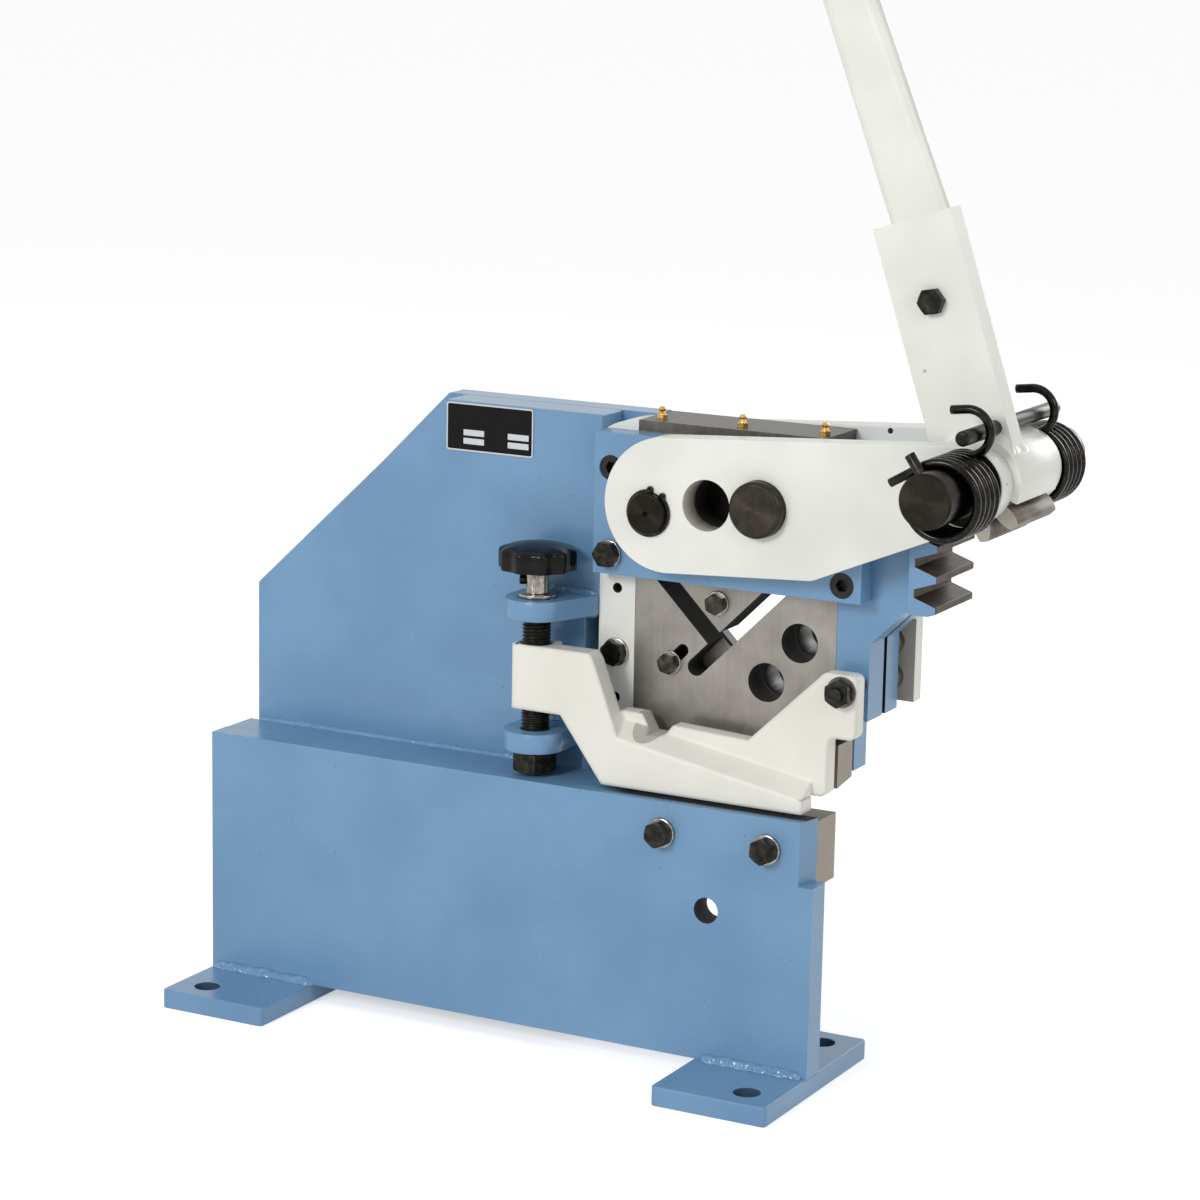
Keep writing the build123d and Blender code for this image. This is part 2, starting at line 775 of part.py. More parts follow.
# Upper blade: raked along X, relieved behind its edge, screwed up into the slide
edge_right = slide_low - upper_blade_height
edge_left = edge_right - upper_blade_rake
blade_length = blade_right - slide_left
upper_outline = Polygon(
    (slide_left, edge_left),
    (blade_right, edge_right),
    (blade_right, slide_low),
    (slide_left, slide_low),
    align=None,
)
upper_blade = plate(upper_outline, slide_front, slide_back)
relief = Polygon(
    (slide_front, 0),
    (slide_back, 0),
    (slide_back, upper_blade_relief),
    align=None,
)
rake_angle = math.degrees(math.atan2(upper_blade_rake, blade_length))
wedge = Pos(-blade_length * 0.1, 0, 0) * extrude(Plane.YZ * relief, amount=blade_length * 1.2)
upper_blade -= Pos(slide_left, 0, edge_left) * Rot(0, -rake_angle, 0) * wedge
screw_y = (slide_front + slide_back) / 2
screws = []
for index in range(blade_screw_count):
    x = slide_left + slide_width * (index + 0.5) / blade_screw_count
    head_top_z = slide_low - upper_blade_height * 0.45
    tip = slide_low + 14
    shank = Pos(x, screw_y, head_top_z) * extrude(Circle(blade_screw / 2), amount=tip - head_top_z)
    head = Pos(x, screw_y, head_top_z) * extrude(Circle(blade_screw_head / 2), amount=-blade_screw)
    screws.append(shank + head)
    bore = Circle(blade_screw / 2 + press_fit)
    upper_blade -= Pos(x, screw_y, head_top_z) * extrude(bore, amount=tip - head_top_z)
    sink = Circle(blade_screw_head / 2 + bolt_clearance)
    upper_blade -= Pos(x, screw_y, head_top_z) * extrude(sink, amount=-upper_blade_height)
    slide -= Pos(x, screw_y, slide_low) * extrude(bore, amount=tip - slide_low)
save("upper_blade", upper_blade)
save("upper_blade_screws", *screws)
save("slide_plate", slide)

# Arms: two equal levers outside the cover and the main plate
heel = Pos(pivot_x + arm_heel_x, pivot_z + arm_heel_z) * Circle(arm_heel_radius)
elbow = Pos(pivot_x + arm_elbow_x, pivot_z + arm_elbow_z) * Circle(arm_elbow_radius)
nose = Pos(shaft_x, shaft_z) * Circle(arm_nose_radius)
arm_outline = make_hull(heel.edges() + elbow.edges() + nose.edges())
arm_outline -= Pos(pivot_x, pivot_z) * Circle(pivot_pin / 2 + run_fit)
arm_outline -= Pos(peep_x, base_top + peep_rise) * Circle(peep_hole / 2)
arm_outline -= Pos(drive_x, drive_z) * Circle(drive_pin / 2 + press_fit)
arm_outline -= Pos(shaft_x, shaft_z) * Circle(shaft_diameter / 2 + press_fit)
save("front_arm", plate(arm_outline, arm_front, arm_back))
save("rear_arm", plate(arm_outline, rear_arm_front, rear_arm_back))

# Drive pin and toggle shaft, both fast in the arms
drive = disc(drive_x, drive_z, drive_pin, arm_front - drive_proud, rear_arm_back + drive_proud)
save("drive_pin", chamfer(drive.edges().filter_by(GeomType.CIRCLE), 2))
shaft_front = arm_front - shaft_reach
shaft_back = rear_arm_back + shaft_reach
shaft = disc(shaft_x, shaft_z, shaft_diameter, shaft_front, shaft_back)
shaft = chamfer(shaft.edges().filter_by(GeomType.CIRCLE), 1.5)

# Torsion spring: a straight leg, a coil that runs clockwise to the rear, and an open hook
# The coil hangs on the shaft, and its hook bears on the rod with the right side of its bend
coil_hang = coil_radius - wire / 2 - shaft_diameter / 2 - coil_play
coil_z = shaft_z - coil_hang
hook_way = coil_radius + hook_radius
hook_lead = hook_radius - wire / 2 - anchor_diameter / 2 - hook_gap
coil_end = math.degrees(math.atan2(anchor_z + coil_hang, anchor_x) + math.asin(hook_lead / hook_way))
coil_sweep = coil_turns + (leg_angle - coil_end) / 360
hook_sweep = hook_end + 180 - coil_end
coil_back = arm_front - coil_gap - wire / 2
coil_front = coil_back - coil_pitch * coil_sweep


def on_circle(middle_x, middle_z, radius, angle, y):
    a = math.radians(angle)
    return Vector(middle_x + radius * math.cos(a), y, middle_z + radius * math.sin(a))


def along_coil(angle, climb):
    a = math.radians(angle)
    return Vector(math.sin(a), climb, -math.cos(a)).normalized()


def biarc(p0, t0, p1, t1):
    """Two arcs that leave p0 along t0 and reach p1 along t1."""
    v = p1 - p0
    a = 2 * (1 - t0.dot(t1))
    b = v.dot(t0 + t1)
    d = (math.sqrt(b * b + a * v.dot(v)) - b) / a
    q0 = p0 + t0 * d
    q1 = p1 - t1 * d
    middle = (q0 + q1) / 2
    first = Edge.make_tangent_arc(p0, t0, middle)
    return [first, Edge.make_tangent_arc(middle, (q1 - q0).normalized(), p1)]


climb = coil_pitch / (2 * math.pi * coil_radius)
spans = math.ceil(coil_sweep * 2)
stations = []
for index in range(spans + 1):
    turned = coil_sweep * index / spans
    angle = leg_angle - 360 * turned
    point = on_circle(shaft_x, coil_z, coil_radius, angle, coil_front + coil_pitch * turned)
    stations.append((point, along_coil(angle, climb if index < spans else 0)))
hook = on_circle(shaft_x, coil_z, hook_way, coil_end, coil_back)
for share in (0.5, 1):
    angle = coil_end + 180 + hook_sweep * share
    point = on_circle(hook.X, hook.Z, hook_radius, angle, coil_back)
    stations.append((point, -along_coil(angle, 0)))
leg_point, leg_direction = stations[0]
leg_tip = leg_point - leg_direction * leg_length
hook_point, hook_direction = stations[-1]
spring_edges = [Edge.make_line(leg_tip, leg_point)]
for (p0, t0), (p1, t1) in zip(stations, stations[1:]):
    spring_edges += biarc(p0, t0, p1, t1)
spring_edges.append(Edge.make_line(hook_point, hook_point + hook_direction * hook_tail))
spring_path = Wire(spring_edges)
spring = sweep(Plane(origin=leg_tip, z_dir=leg_direction) * Circle(wire / 2), path=spring_path)

# Least gap of the spring to itself, on points along its wire
count = 900
length = spring_path.length
points = [spring_path.position_at(i / count) for i in range(count + 1)]
apart = math.ceil(3 * wire / (length / count))
least = min(
    (points[i] - points[j]).length for i in range(count + 1) for j in range(i + apart, count + 1)
)
print(f"spring wire {length:.1f} mm long, least gap to itself {least - wire:.2f} mm")
print(f"spring volume {spring.volume:.1f}, section times length {math.pi * wire ** 2 / 4 * length:.1f}")
middle_plane = Plane.XZ.offset(-(arm_front + rear_arm_back) / 2)
save("front_spring", spring)
save("rear_spring", mirror(spring, about=middle_plane))

# Cross pins driven into the shaft's ends keep the springs' legs
pin_y = coil_front - wire / 2 - cross_pin / 2 - cross_pin_gap
pin_middle = Plane(origin=(shaft_x, pin_y, shaft_z), z_dir=on_circle(0, 0, 1, leg_angle, 0))
pin_way = pin_middle.offset(-cross_pin_seat)
cross = extrude(pin_way * Circle(cross_pin / 2), amount=cross_pin_seat + cross_pin_reach)
cross_hole = extrude(pin_way * Circle(cross_pin / 2 + press_fit), amount=cross_pin_seat + shaft_diameter)
shaft -= cross_hole
shaft -= mirror(cross_hole, about=middle_plane)
save("toggle_shaft", shaft)
save("cross_pins", cross, mirror(cross, about=middle_plane))

# Hub and pinion segment, which turn on the toggle shaft between the arms
hub_front = arm_back + hub_play
hub_back = rear_arm_front - hub_play
hub_bore = shaft_diameter / 2 + run_fit


def sector(start, end):
    reach = hub_diameter
    ends = [Vector(reach, 0).rotate(Axis.Z, angle) for angle in (start, (start + end) / 2, end)]
    edges = [Line((0, 0), ends[0]), ThreePointArc(*ends), Line(ends[2], (0, 0))]
    return make_face(edges)


at_shaft = Pos(shaft_x, shaft_z)
hub_outline = Circle(hub_diameter / 2) - Circle(hub_bore) - sector(segment_start, segment_end)
save("hub", plate(at_shaft * hub_outline, hub_front, hub_back))
flank = [
    (pinion_root - 2, pinion_root_half),
    (pinion_mid, pinion_mid_half),
    (pinion_tip, pinion_tip_half),
]
upper_flank = ThreePointArc(*flank)
lower_flank = ThreePointArc(*[(r, -half) for r, half in flank])
tooth = make_face([
    upper_flank,
    Line(upper_flank @ 1, lower_flank @ 1),
    lower_flank,
    Line(lower_flank @ 0, upper_flank @ 0),
])
mesh_angle = 180 + math.degrees(mesh_drop / pitch_radius)
pinion_outline = Circle(pinion_root) & sector(segment_start, segment_end)
for index in range(pinion_segment_teeth):
    angle = mesh_angle + (pinion_first_step + index) * 360 / pinion_teeth
    pinion_outline += Rot(0, 0, angle) * tooth
pinion_outline -= Circle(hub_bore)
save("pinion_segment", plate(at_shaft * pinion_outline, hub_front, hub_back))

# Lever plate, welded on the hub, with the rod that the springs hook on
lever_front = arm_back + lever_set
lever_back = lever_front + lever_thick
on_lever = at_shaft * Rot(0, 0, lever_angle)
lever_outline = on_lever * Pos(0, lever_length / 2) * Rectangle(lever_width, lever_length)
lever_outline -= at_shaft * Circle(hub_diameter / 2 + press_fit)
lever_outline -= at_shaft * Pos(anchor_x, anchor_z) * Circle(anchor_diameter / 2 + press_fit)
lever_outline -= on_lever * Pos(0, lever_bolt_at) * Circle((small_bolt + bolt_clearance) / 2)
save("lever_plate", plate(lever_outline, lever_front, lever_back))
rod_front = arm_front - anchor_reach
rod_back = rear_arm_back + anchor_reach
rod = disc(shaft_x + anchor_x, shaft_z + anchor_z, anchor_diameter, rod_front, rod_back)
save("anchor_rod", chamfer(rod.edges().filter_by(GeomType.CIRCLE), 1))

# Handle tube: pressed flat behind the lever plate, a little askew on its bolt, and round further up
bolt_place = on_lever * Pos(0, lever_bolt_at)
bolt_x = bolt_place.position.X
bolt_z = bolt_place.position.Y
tube_y = lever_back + tube_flat / 2
tube_back = lever_back + tube_flat
lean = math.radians(lever_angle + tube_askew)
up = Vector(-math.sin(lean), 0, math.cos(lean))
across = Vector(math.cos(lean), 0, math.sin(lean))


def tube_plane(distance):
    """Plane across the tube, at a distance from the toggle shaft."""
    origin = Vector(bolt_x, tube_y, bolt_z) + up * (distance - lever_bolt_at)
    return Plane(origin=origin, x_dir=across, z_dir=up)


flat_section = SlotOverall(tube_flat_width, tube_flat)
neck_section = SlotOverall(tube_neck_width, tube_neck_depth)
round_section = Circle(tube_diameter / 2)
flat_end = extrude(tube_plane(tube_start) * flat_section, amount=tube_flat_end - tube_start)
taper = loft([tube_plane(tube_flat_end) * flat_section, tube_plane(tube_neck_at) * neck_section])
neck = loft([tube_plane(tube_neck_at) * neck_section, tube_plane(tube_round_start) * round_section])
bore_section = Circle(tube_diameter / 2 - tube_wall)
wall_section = round_section - bore_section
pipe = extrude(tube_plane(tube_round_start) * wall_section, amount=tube_end - tube_round_start)
tube = flat_end + taper + neck + pipe
tube -= disc(bolt_x, bolt_z, small_bolt + bolt_clearance, lever_back - 1, tube_back + 1)
save("handle_tube", tube)
reach = lever_thick + tube_flat + small_nut + thread_end
save("handle_bolt", hex_bolt(bolt_x, bolt_z, lever_front, small_bolt, small_flats, small_head, reach))
nut = hex_head(bolt_x, bolt_z, small_flats, tube_back, tube_back + small_nut)
save("handle_nut", nut - disc(bolt_x, bolt_z, small_bolt + 2 * press_fit, tube_back, tube_back + small_nut))
plug = extrude(tube_plane(tube_end) * round_section, amount=plug_cap)
plug_stem = Circle(tube_diameter / 2 - tube_wall - press_fit)
plug = chamfer(plug.edges().filter_by(GeomType.CIRCLE).sort_by(Axis.Z)[-1], plug_cap / 2)
save("tube_plug", plug + extrude(tube_plane(tube_end) * plug_stem, amount=-plug_depth))

# Hold-down: one casting with a block on the spindle, a bent bar and a plate on the stud
block_low_z = base_top + block_low
block_high_z = base_top + block_high
bar_low = base_top + bar_lift
block_outline = Pos(spindle_x, spindle_y) * Rectangle(2 * block_half_x, 2 * block_half_y)
block_outline = fillet(block_outline.vertices().group_by(Axis.X)[0], block_corner)
block = Pos(0, 0, block_low_z) * extrude(block_outline, amount=block_high - block_low)
bar_outline = Polygon(
    (spindle_x, block_low_z),
    (spindle_x + neck_run, block_low_z),
    (bar_left, bar_low),
    (bar_right, bar_low),
    (bar_right, bar_low + bar_end_height),
    (bar_left + 12, bar_low + bar_root_height),
    (bar_left - 8, block_high_z - 4.5),
    (bar_left - 11.5, block_high_z),
    (spindle_x, block_high_z),
    align=None,
)
bar = plate(bar_outline, bar_front, bar_back)
notch_x = stop_bolt_x
hold_low = base_top + hold_rise
tab_low = base_top + tab_rise
hold_outline = Polygon(
    (bar_left + 4, hold_low),
    (stud_x - tab_left, hold_low),
    (stud_x - tab_left, tab_low),
    (stud_x + tab_right, tab_low),
    (stud_x + tab_right, stud_z + tab_height),
    (stud_x - tab_crown, stud_z + tab_height),
    (deck_right, base_top + deck_right_rise),
    (notch_x + deck_left, base_top + deck_left_rise),
    (notch_x + notch_right, base_top + notch_rise),
    (notch_x - notch_left, base_top + notch_rise),
    (notch_x - ear_right, base_top + ear_rise),
    (notch_x - ear_right - ear_width, base_top + ear_rise),
    align=None,
)
hold = plate(hold_outline, bar_back, hold_back)
hold = fillet(hold.edges().filter_by(Axis.Y).filter_by_position(Axis.X, stud_x - 20, stud_x + 20), hold_corner)


def ramp_section(x):
    """Triangle that leads the bar's top back to the plate's face."""
    share = (bar_right - x) / (bar_right - bar_left - 12)
    z = bar_low + bar_end_height + share * (bar_root_height - bar_end_height)
    return Plane.YZ.offset(x) * Polygon((bar_front, z), (bar_back, z), (bar_back, z + bar_blend), align=None)


ramp = loft([ramp_section(bar_left + 1.5), ramp_section(bar_right)])
ramp &= plate(hold_outline, bar_front, bar_back)
hold_down = block + bar + hold + ramp
spindle_way = SlotCenterToCenter(2 * block_way_run, block_way)
hold_down -= Pos(spindle_x, spindle_y, block_low_z) * extrude(spindle_way, amount=block_high - block_low)
hold_down -= disc(stud_x, stud_z, small_bolt + 2 * run_fit, bar_front, hold_back)
save("hold_down", hold_down)

# Spindle with its lock nut below, its flange and collar above the upper eye, and the star knob
eye_top = base_top + upper_eye_rise + eye_thick
nut_top = base_top + lower_eye_rise - face_gap
flange_low = eye_top + face_gap
collar_low = flange_low + flange_height
knob_low = collar_low + collar_height
spindle_low = nut_top - spindle_nut_height - spindle_end
spindle_high = knob_low + knob_height * 0.6


def turned(diameter, low, high, bore=0.0):
    """Round piece on the spindle's axis."""
    outline = Circle(diameter / 2)
    if bore:
        outline -= Circle(bore / 2)
    return Pos(spindle_x, spindle_y, low) * extrude(outline, amount=high - low)


neck_bore = spindle_neck + 2 * press_fit
spindle = turned(spindle_diameter, spindle_low, flange_low)
save("spindle", spindle + turned(spindle_neck, flange_low, spindle_high))
nut_outline = RegularPolygon(spindle_nut_flats / 2, 6, major_radius=False)
nut_outline -= Circle(spindle_diameter / 2 + press_fit)
save("spindle_nut", Pos(spindle_x, spindle_y, nut_top) * extrude(nut_outline, amount=-spindle_nut_height))
flange = turned(flange_diameter, flange_low, collar_low, neck_bore)
save("knob_collar", flange + turned(collar_diameter, collar_low, knob_low, neck_bore))
knob_radius = knob_diameter / 2
flute_circle = knob_radius + knob_flute - knob_flute_depth
knob_outline = Circle(knob_radius) - PolarLocations(flute_circle, knob_flutes) * Circle(knob_flute)
knob_outline = fillet(knob_outline.vertices(), knob_round)
dome_radius = (knob_radius ** 2 + knob_dome ** 2) / (2 * knob_dome)
dome_middle = knob_low + knob_height - dome_radius
grip = Pos(spindle_x, spindle_y, knob_low) * extrude(knob_outline, amount=knob_height)
grip &= Pos(spindle_x, spindle_y, dome_middle) * Sphere(dome_radius)
save("star_knob", grip - turned(neck_bore, knob_low, spindle_high + press_fit))
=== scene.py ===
import math

import bmesh
import bpy
from mathutils import Matrix, Vector, noise


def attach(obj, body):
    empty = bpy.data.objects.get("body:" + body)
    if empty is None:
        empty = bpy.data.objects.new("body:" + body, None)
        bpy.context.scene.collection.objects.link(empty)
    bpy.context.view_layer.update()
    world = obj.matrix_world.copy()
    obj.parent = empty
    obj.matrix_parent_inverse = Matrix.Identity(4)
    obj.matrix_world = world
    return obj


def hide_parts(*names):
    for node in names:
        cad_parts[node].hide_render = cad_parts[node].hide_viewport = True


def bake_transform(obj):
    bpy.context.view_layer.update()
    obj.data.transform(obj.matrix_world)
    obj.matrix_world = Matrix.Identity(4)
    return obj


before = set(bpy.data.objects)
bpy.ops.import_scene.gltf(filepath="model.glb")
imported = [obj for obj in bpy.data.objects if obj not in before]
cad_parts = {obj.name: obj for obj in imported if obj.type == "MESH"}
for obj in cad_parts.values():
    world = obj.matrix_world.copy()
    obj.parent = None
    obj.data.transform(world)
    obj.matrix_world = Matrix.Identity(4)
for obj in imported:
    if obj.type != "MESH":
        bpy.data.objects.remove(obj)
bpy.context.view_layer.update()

# Camera: it stands 2.4 m from the shear, 28 degrees round to the right and 12 above it,
# behind a long lens. The picture leans by about a degree, so the camera rolls by as much.
turn = math.radians(28.0)
lift = math.radians(11.8)
roll = math.radians(1.1)
aim = Vector((0.0548, 0.0225, 0.3152))
distance = 2.4245
away = Vector((math.sin(turn) * math.cos(lift), -math.cos(turn) * math.cos(lift), math.sin(lift)))
level = Vector((math.cos(turn), math.sin(turn), 0.0))
upright = away.cross(level)
picture_right = level * math.cos(roll) + upright * math.sin(roll)
picture_up = upright * math.cos(roll) - level * math.sin(roll)
lens = bpy.data.cameras.new("camera")
lens.sensor_fit = "HORIZONTAL"
lens.sensor_width = 36.0
lens.lens = 105.7
lens.clip_end = 200.0
camera = bpy.data.objects.new("camera", lens)
bpy.context.scene.collection.objects.link(camera)
stance = Matrix((picture_right, picture_up, away)).transposed().to_4x4()
camera.matrix_world = Matrix.Translation(aim + away * distance) @ stance
bpy.context.scene.camera = camera
bpy.context.scene.view_settings.view_transform = "Standard"


# Studio floor: a seamless sheet of white card under the feet, which takes the soft shadow.
# Seen straight or in a reflection it carries a little light of its own, so it stays white
# all round the shadow.
def linear(code):
    """Scene-linear colour of an sRGB hex code."""
    parts = [int(code[i:i + 2], 16) / 255 for i in (1, 3, 5)]
    return [c / 12.92 if c <= 0.04045 else ((c + 0.055) / 1.055) ** 2.4 for c in parts] + [1.0]


def add(tree, kind, sockets=(), **settings):
    """Adds a shader node with its sockets, as values or links, and its settings."""
    node = tree.nodes.new("ShaderNode" + kind)
    for name, value in settings.items():
        setattr(node, name, value)
    for name, value in dict(sockets).items():
        if isinstance(value, bpy.types.NodeSocket):
            tree.links.new(value, node.inputs[name])
        else:
            node.inputs[name].default_value = value
    return node


def new_finish(name):
    """Empty material and its node tree."""
    finish = bpy.data.materials.new(name)
    finish.use_nodes = True
    finish.node_tree.nodes.clear()
    return finish, finish.node_tree


def to_the_eye(tree):
    """One for light that reaches the camera straight, by a reflection or through glass, else nought."""
    path = add(tree, "LightPath")
    seen = add(tree, "Math", {0: path.outputs["Is Camera Ray"], 1: path.outputs["Is Glossy Ray"]},
               operation="MAXIMUM")
    return add(tree, "Math", {0: seen.outputs[0], 1: path.outputs["Is Transmission Ray"]},
               operation="MAXIMUM").outputs[0]


def build_piece(name, points, faces, finish):
    """Mesh object from points in metres and faces."""
    mesh = bpy.data.meshes.new(name)
    mesh.from_pydata([tuple(p) for p in points], [], faces)
    mesh.materials.append(finish)
    piece = bpy.data.objects.new(name, mesh)
    bpy.context.scene.collection.objects.link(piece)
    return piece


card_light = 0.52
card_reach = 30.0
white_card, tree = new_finish("white_card")
own_light = add(tree, "Math", {0: to_the_eye(tree), 1: card_light}, operation="MULTIPLY")
glow = add(tree, "Emission", {"Color": linear("#FFFFFF"), "Strength": own_light.outputs[0]})
card = add(tree, "BsdfDiffuse", {"Color": linear("#F2F2F2")})
both = add(tree, "AddShader", {0: card.outputs[0], 1: glow.outputs[0]})
add(tree, "OutputMaterial", {"Surface": both.outputs[0]})
card_corners = [(x * card_reach, y * card_reach, 0.0) for x, y in ((-1, -1), (1, -1), (1, 1), (-1, 1))]
floor = build_piece("studio_floor", card_corners, [(0, 1, 2, 3)], white_card)

# Studio light: a white tent all round, one lamp before the shear, and weaker ones at its right
# and behind it. Together they light a front face at about the level its colour is written for.
tent_light = 0.5
tent_seen = 1.0
world = bpy.data.worlds.new("white_tent")
bpy.context.scene.world = world
world.use_nodes = True
tree = world.node_tree
tree.nodes.clear()
strength = add(tree, "MapRange", {"Value": to_the_eye(tree), "To Min": tent_light, "To Max": tent_seen})
tent = add(tree, "Background", {"Color": linear("#FFFFFF"), "Strength": strength.outputs[0]})
add(tree, "OutputWorld", {"Surface": tent.outputs[0]})
lit_point = Vector((0.0, 0.0, 0.35))
for name, place, size, power in (
    ("front_lamp", (-0.5, -2.9, 1.7), 0.9, 44.5),
    ("right_lamp", (2.4, -0.7, 1.5), 0.8, 10.0),
    ("rear_lamp", (0.7, 2.9, 1.3), 1.2, 16.0),
):
    lamp = bpy.data.lights.new(name, "AREA")
    lamp.shape = "SQUARE"
    lamp.size = size
    lamp.energy = power
    stand = bpy.data.objects.new(name, lamp)
    bpy.context.scene.collection.objects.link(stand)
    stand.location = place
    stand.rotation_euler = (lit_point - Vector(place)).to_track_quat("-Z", "Y").to_euler()


# Enamel on the shear: air-dried spray paint on hot-rolled steel, blue on the frame, white on what moves.
# The eye gets a glossy skin with faint orange peel, slow clouds in the tone and a few dark specks.
# Holes drilled after painting keep a bare wall on some pieces. On others their dark wall is painted shade,
# and dark rounds and patches of painted shade lie where shade falls.
def from_axis(tree, where, axis, x, across):
    """Distance in metres from an axis along Y or Z, whose place is given in millimetres."""
    middle = (x / 1000, 0.0, across / 1000) if axis == "Y" else (x / 1000, across / 1000, 0.0)
    plane = (1, 0, 1) if axis == "Y" else (1, 1, 0)
    offset = add(tree, "VectorMath", {0: where, 1: middle}, operation="SUBTRACT")
    flat = add(tree, "VectorMath", {0: offset.outputs[0], 1: plane}, operation="MULTIPLY")
    return add(tree, "VectorMath", {0: flat.outputs[0]}, operation="LENGTH").outputs["Value"]


def paint_shade_rounds(tree, where, coat, rounds):
    """Lays dark painted shade on a tone within rounds about an axis along Y, each (x, z, radius) in
    millimetres.
    """
    for x, z, radius in rounds:
        out = from_axis(tree, where, "Y", x, z)
        within = add(tree, "Math", {0: out, 1: radius / 1000}, operation="LESS_THAN")
        # The near-black tone is painted shade.
        coat = add(tree, "Mix", {0: within.outputs[0], 6: coat, 7: linear("#141311")},
                   data_type="RGBA").outputs[2]
    return coat


def lay_over(tree, coat, rough, amount, tone, tone_rough):
    """Lays a bare or greasy tone over paint where an amount says so, with the rougher of both surfaces."""
    coat = add(tree, "Mix", {0: amount, 6: coat, 7: linear(tone)}, data_type="RGBA")
    dull = add(tree, "Math", {0: amount, 1: tone_rough}, operation="MULTIPLY")
    rough = add(tree, "Math", {0: rough, 1: dull.outputs[0]}, operation="MAXIMUM")
    return coat.outputs[2], rough.outputs[0]


def set_ends(ramp, *ends):
    """Sets the two ends of a colour ramp, each as its place and its sRGB code."""
    for end, (place, code) in zip(ramp.elements, ends):
        end.position = place
        end.color = linear(code)


def enamel(name, low, high, speck, cloud_mm, speck_mm, rough, bores=(), wall="#000000", wall_rough=0.9,
           marks=(), patch=(), soft_mm=0.0):
    """Sprayed enamel between two tones; bores are (axis, x, y or z, radius) in millimetres.

    Marks are rounds of painted shade (x, z, radius). A patch is a tone of painted shade on faces that look
    one way, an axis and its sign, which comes in between two values on each axis that it lists. Wall tones
    are bare steel on some pieces and painted shade on others. Soft edges suit a casting."""
    finish, tree = new_finish(name)
    where = add(tree, "TexCoord").outputs["Object"]
    clouds = add(tree, "TexNoise", {"Vector": where, "Scale": 1000 / cloud_mm, "Detail": 2.0})
    tone = add(tree, "ValToRGB", {"Fac": clouds.outputs["Fac"]})
    tone.color_ramp.interpolation = "EASE"
    set_ends(tone.color_ramp, (0.3, low), (0.7, high))
    speck_size = 0.07
    speck_share = 0.1
    speck_strength = 0.55
    specks = add(tree, "TexVoronoi", {"Vector": where, "Scale": 1000 / speck_mm})
    near = add(tree, "Math", {0: specks.outputs["Distance"], 1: speck_size}, operation="LESS_THAN")
    pick = add(tree, "SeparateColor", {"Color": specks.outputs["Color"]})
    few = add(tree, "Math", {0: pick.outputs["Red"], 1: speck_share}, operation="LESS_THAN")
    dot = add(tree, "Math", {0: near.outputs[0], 1: few.outputs[0]}, operation="MULTIPLY")
    faint = add(tree, "Math", {0: dot.outputs[0], 1: speck_strength}, operation="MULTIPLY")
    coat = add(tree, "Mix", {0: faint.outputs[0], 6: tone.outputs["Color"], 7: linear(speck)},
               data_type="RGBA").outputs[2]
    facing = add(tree, "SeparateXYZ", {0: add(tree, "NewGeometry").outputs["Normal"]})
    skin_rough = add(tree, "MapRange",
                     {"Value": clouds.outputs["Fac"], "To Min": rough, "To Max": rough + 0.14}).outputs[0]
    edge_mm = 0.8
    wall_tilt = 0.8
    for axis, x, across, radius in bores:
        out = from_axis(tree, where, axis, x, across)
        within = add(tree, "Math", {0: out, 1: (radius + edge_mm) / 1000}, operation="LESS_THAN")
        tilt = add(tree, "Math", {0: facing.outputs[axis]}, operation="ABSOLUTE")
        steep = add(tree, "Math", {0: tilt.outputs[0], 1: wall_tilt}, operation="LESS_THAN")
        drilled = add(tree, "Math", {0: within.outputs[0], 1: steep.outputs[0]}, operation="MULTIPLY")
        coat, skin_rough = lay_over(tree, coat, skin_rough, drilled.outputs[0], wall, wall_rough)
    coat = paint_shade_rounds(tree, where, coat, marks)
    if patch:
        patch_tone, way, sign, limits = patch
        ramps = [(facing.outputs[way], 0.5 * sign, 0.8 * sign)]
        spot = add(tree, "SeparateXYZ", {0: where})
        ramps += [(spot.outputs[axis], start / 1000, full / 1000) for axis, start, full in limits]
        amount = 1.0
        for measure, start, full in ramps:
            share = add(tree, "MapRange", {"Value": measure, "From Min": start, "From Max": full})
            amount = add(tree, "Math", {0: amount, 1: share.outputs["Result"]},
                         operation="MULTIPLY").outputs[0]
        coat, skin_rough = lay_over(tree, coat, skin_rough, amount, patch_tone, wall_rough)
    peel_mm = 2.6
    peel = add(tree, "TexNoise", {"Vector": where, "Scale": 1000 / peel_mm, "Detail": 2.0})
    skin = add(tree, "Bump", {"Height": peel.outputs["Fac"], "Strength": 0.12, "Distance": 0.0003})
    if soft_mm:
        rounded = add(tree, "Bevel", {"Radius": soft_mm / 1000}, samples=6)
        tree.links.new(rounded.outputs["Normal"], skin.inputs["Normal"])
    paint = add(tree, "BsdfPrincipled", {
        "Base Color": coat,
        "Roughness": skin_rough,
        "Normal": skin.outputs["Normal"],
        "IOR": 1.5,
    })
    add(tree, "OutputMaterial", {"Surface": paint.outputs[0]})
    return finish


blue = {"low": "#678FB3", "high": "#7098BB", "speck": "#33404E", "cloud_mm": 70.0, "speck_mm": 9.0,
        "rough": 0.2}
blue_enamel = enamel("blue_enamel", **blue)


# Feet: flat bars cut off a length, drilled at both ends and welded under the plates.
# Their edges are broken by two millimetres under the paint.
def dress(names, finish, rounding_mm, steps=2):
    """Gives solids their finish and breaks their sharp edges by a small radius."""
    for name in names:
        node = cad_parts[name]
        node.material_slots[0].material = finish
        joined = node.modifiers.new("joined", "WELD")
        joined.merge_threshold = 0.00002
        flat = node.modifiers.new("flat", "DECIMATE")
        flat.decimate_type = "DISSOLVE"
        flat.angle_limit = math.radians(0.5)
        edge = node.modifiers.new("edge", "BEVEL")
        edge.width = rounding_mm / 1000
        edge.segments = steps
        edge.limit_method = "ANGLE"
        edge.angle_limit = math.radians(35)
        edge.harden_normals = True


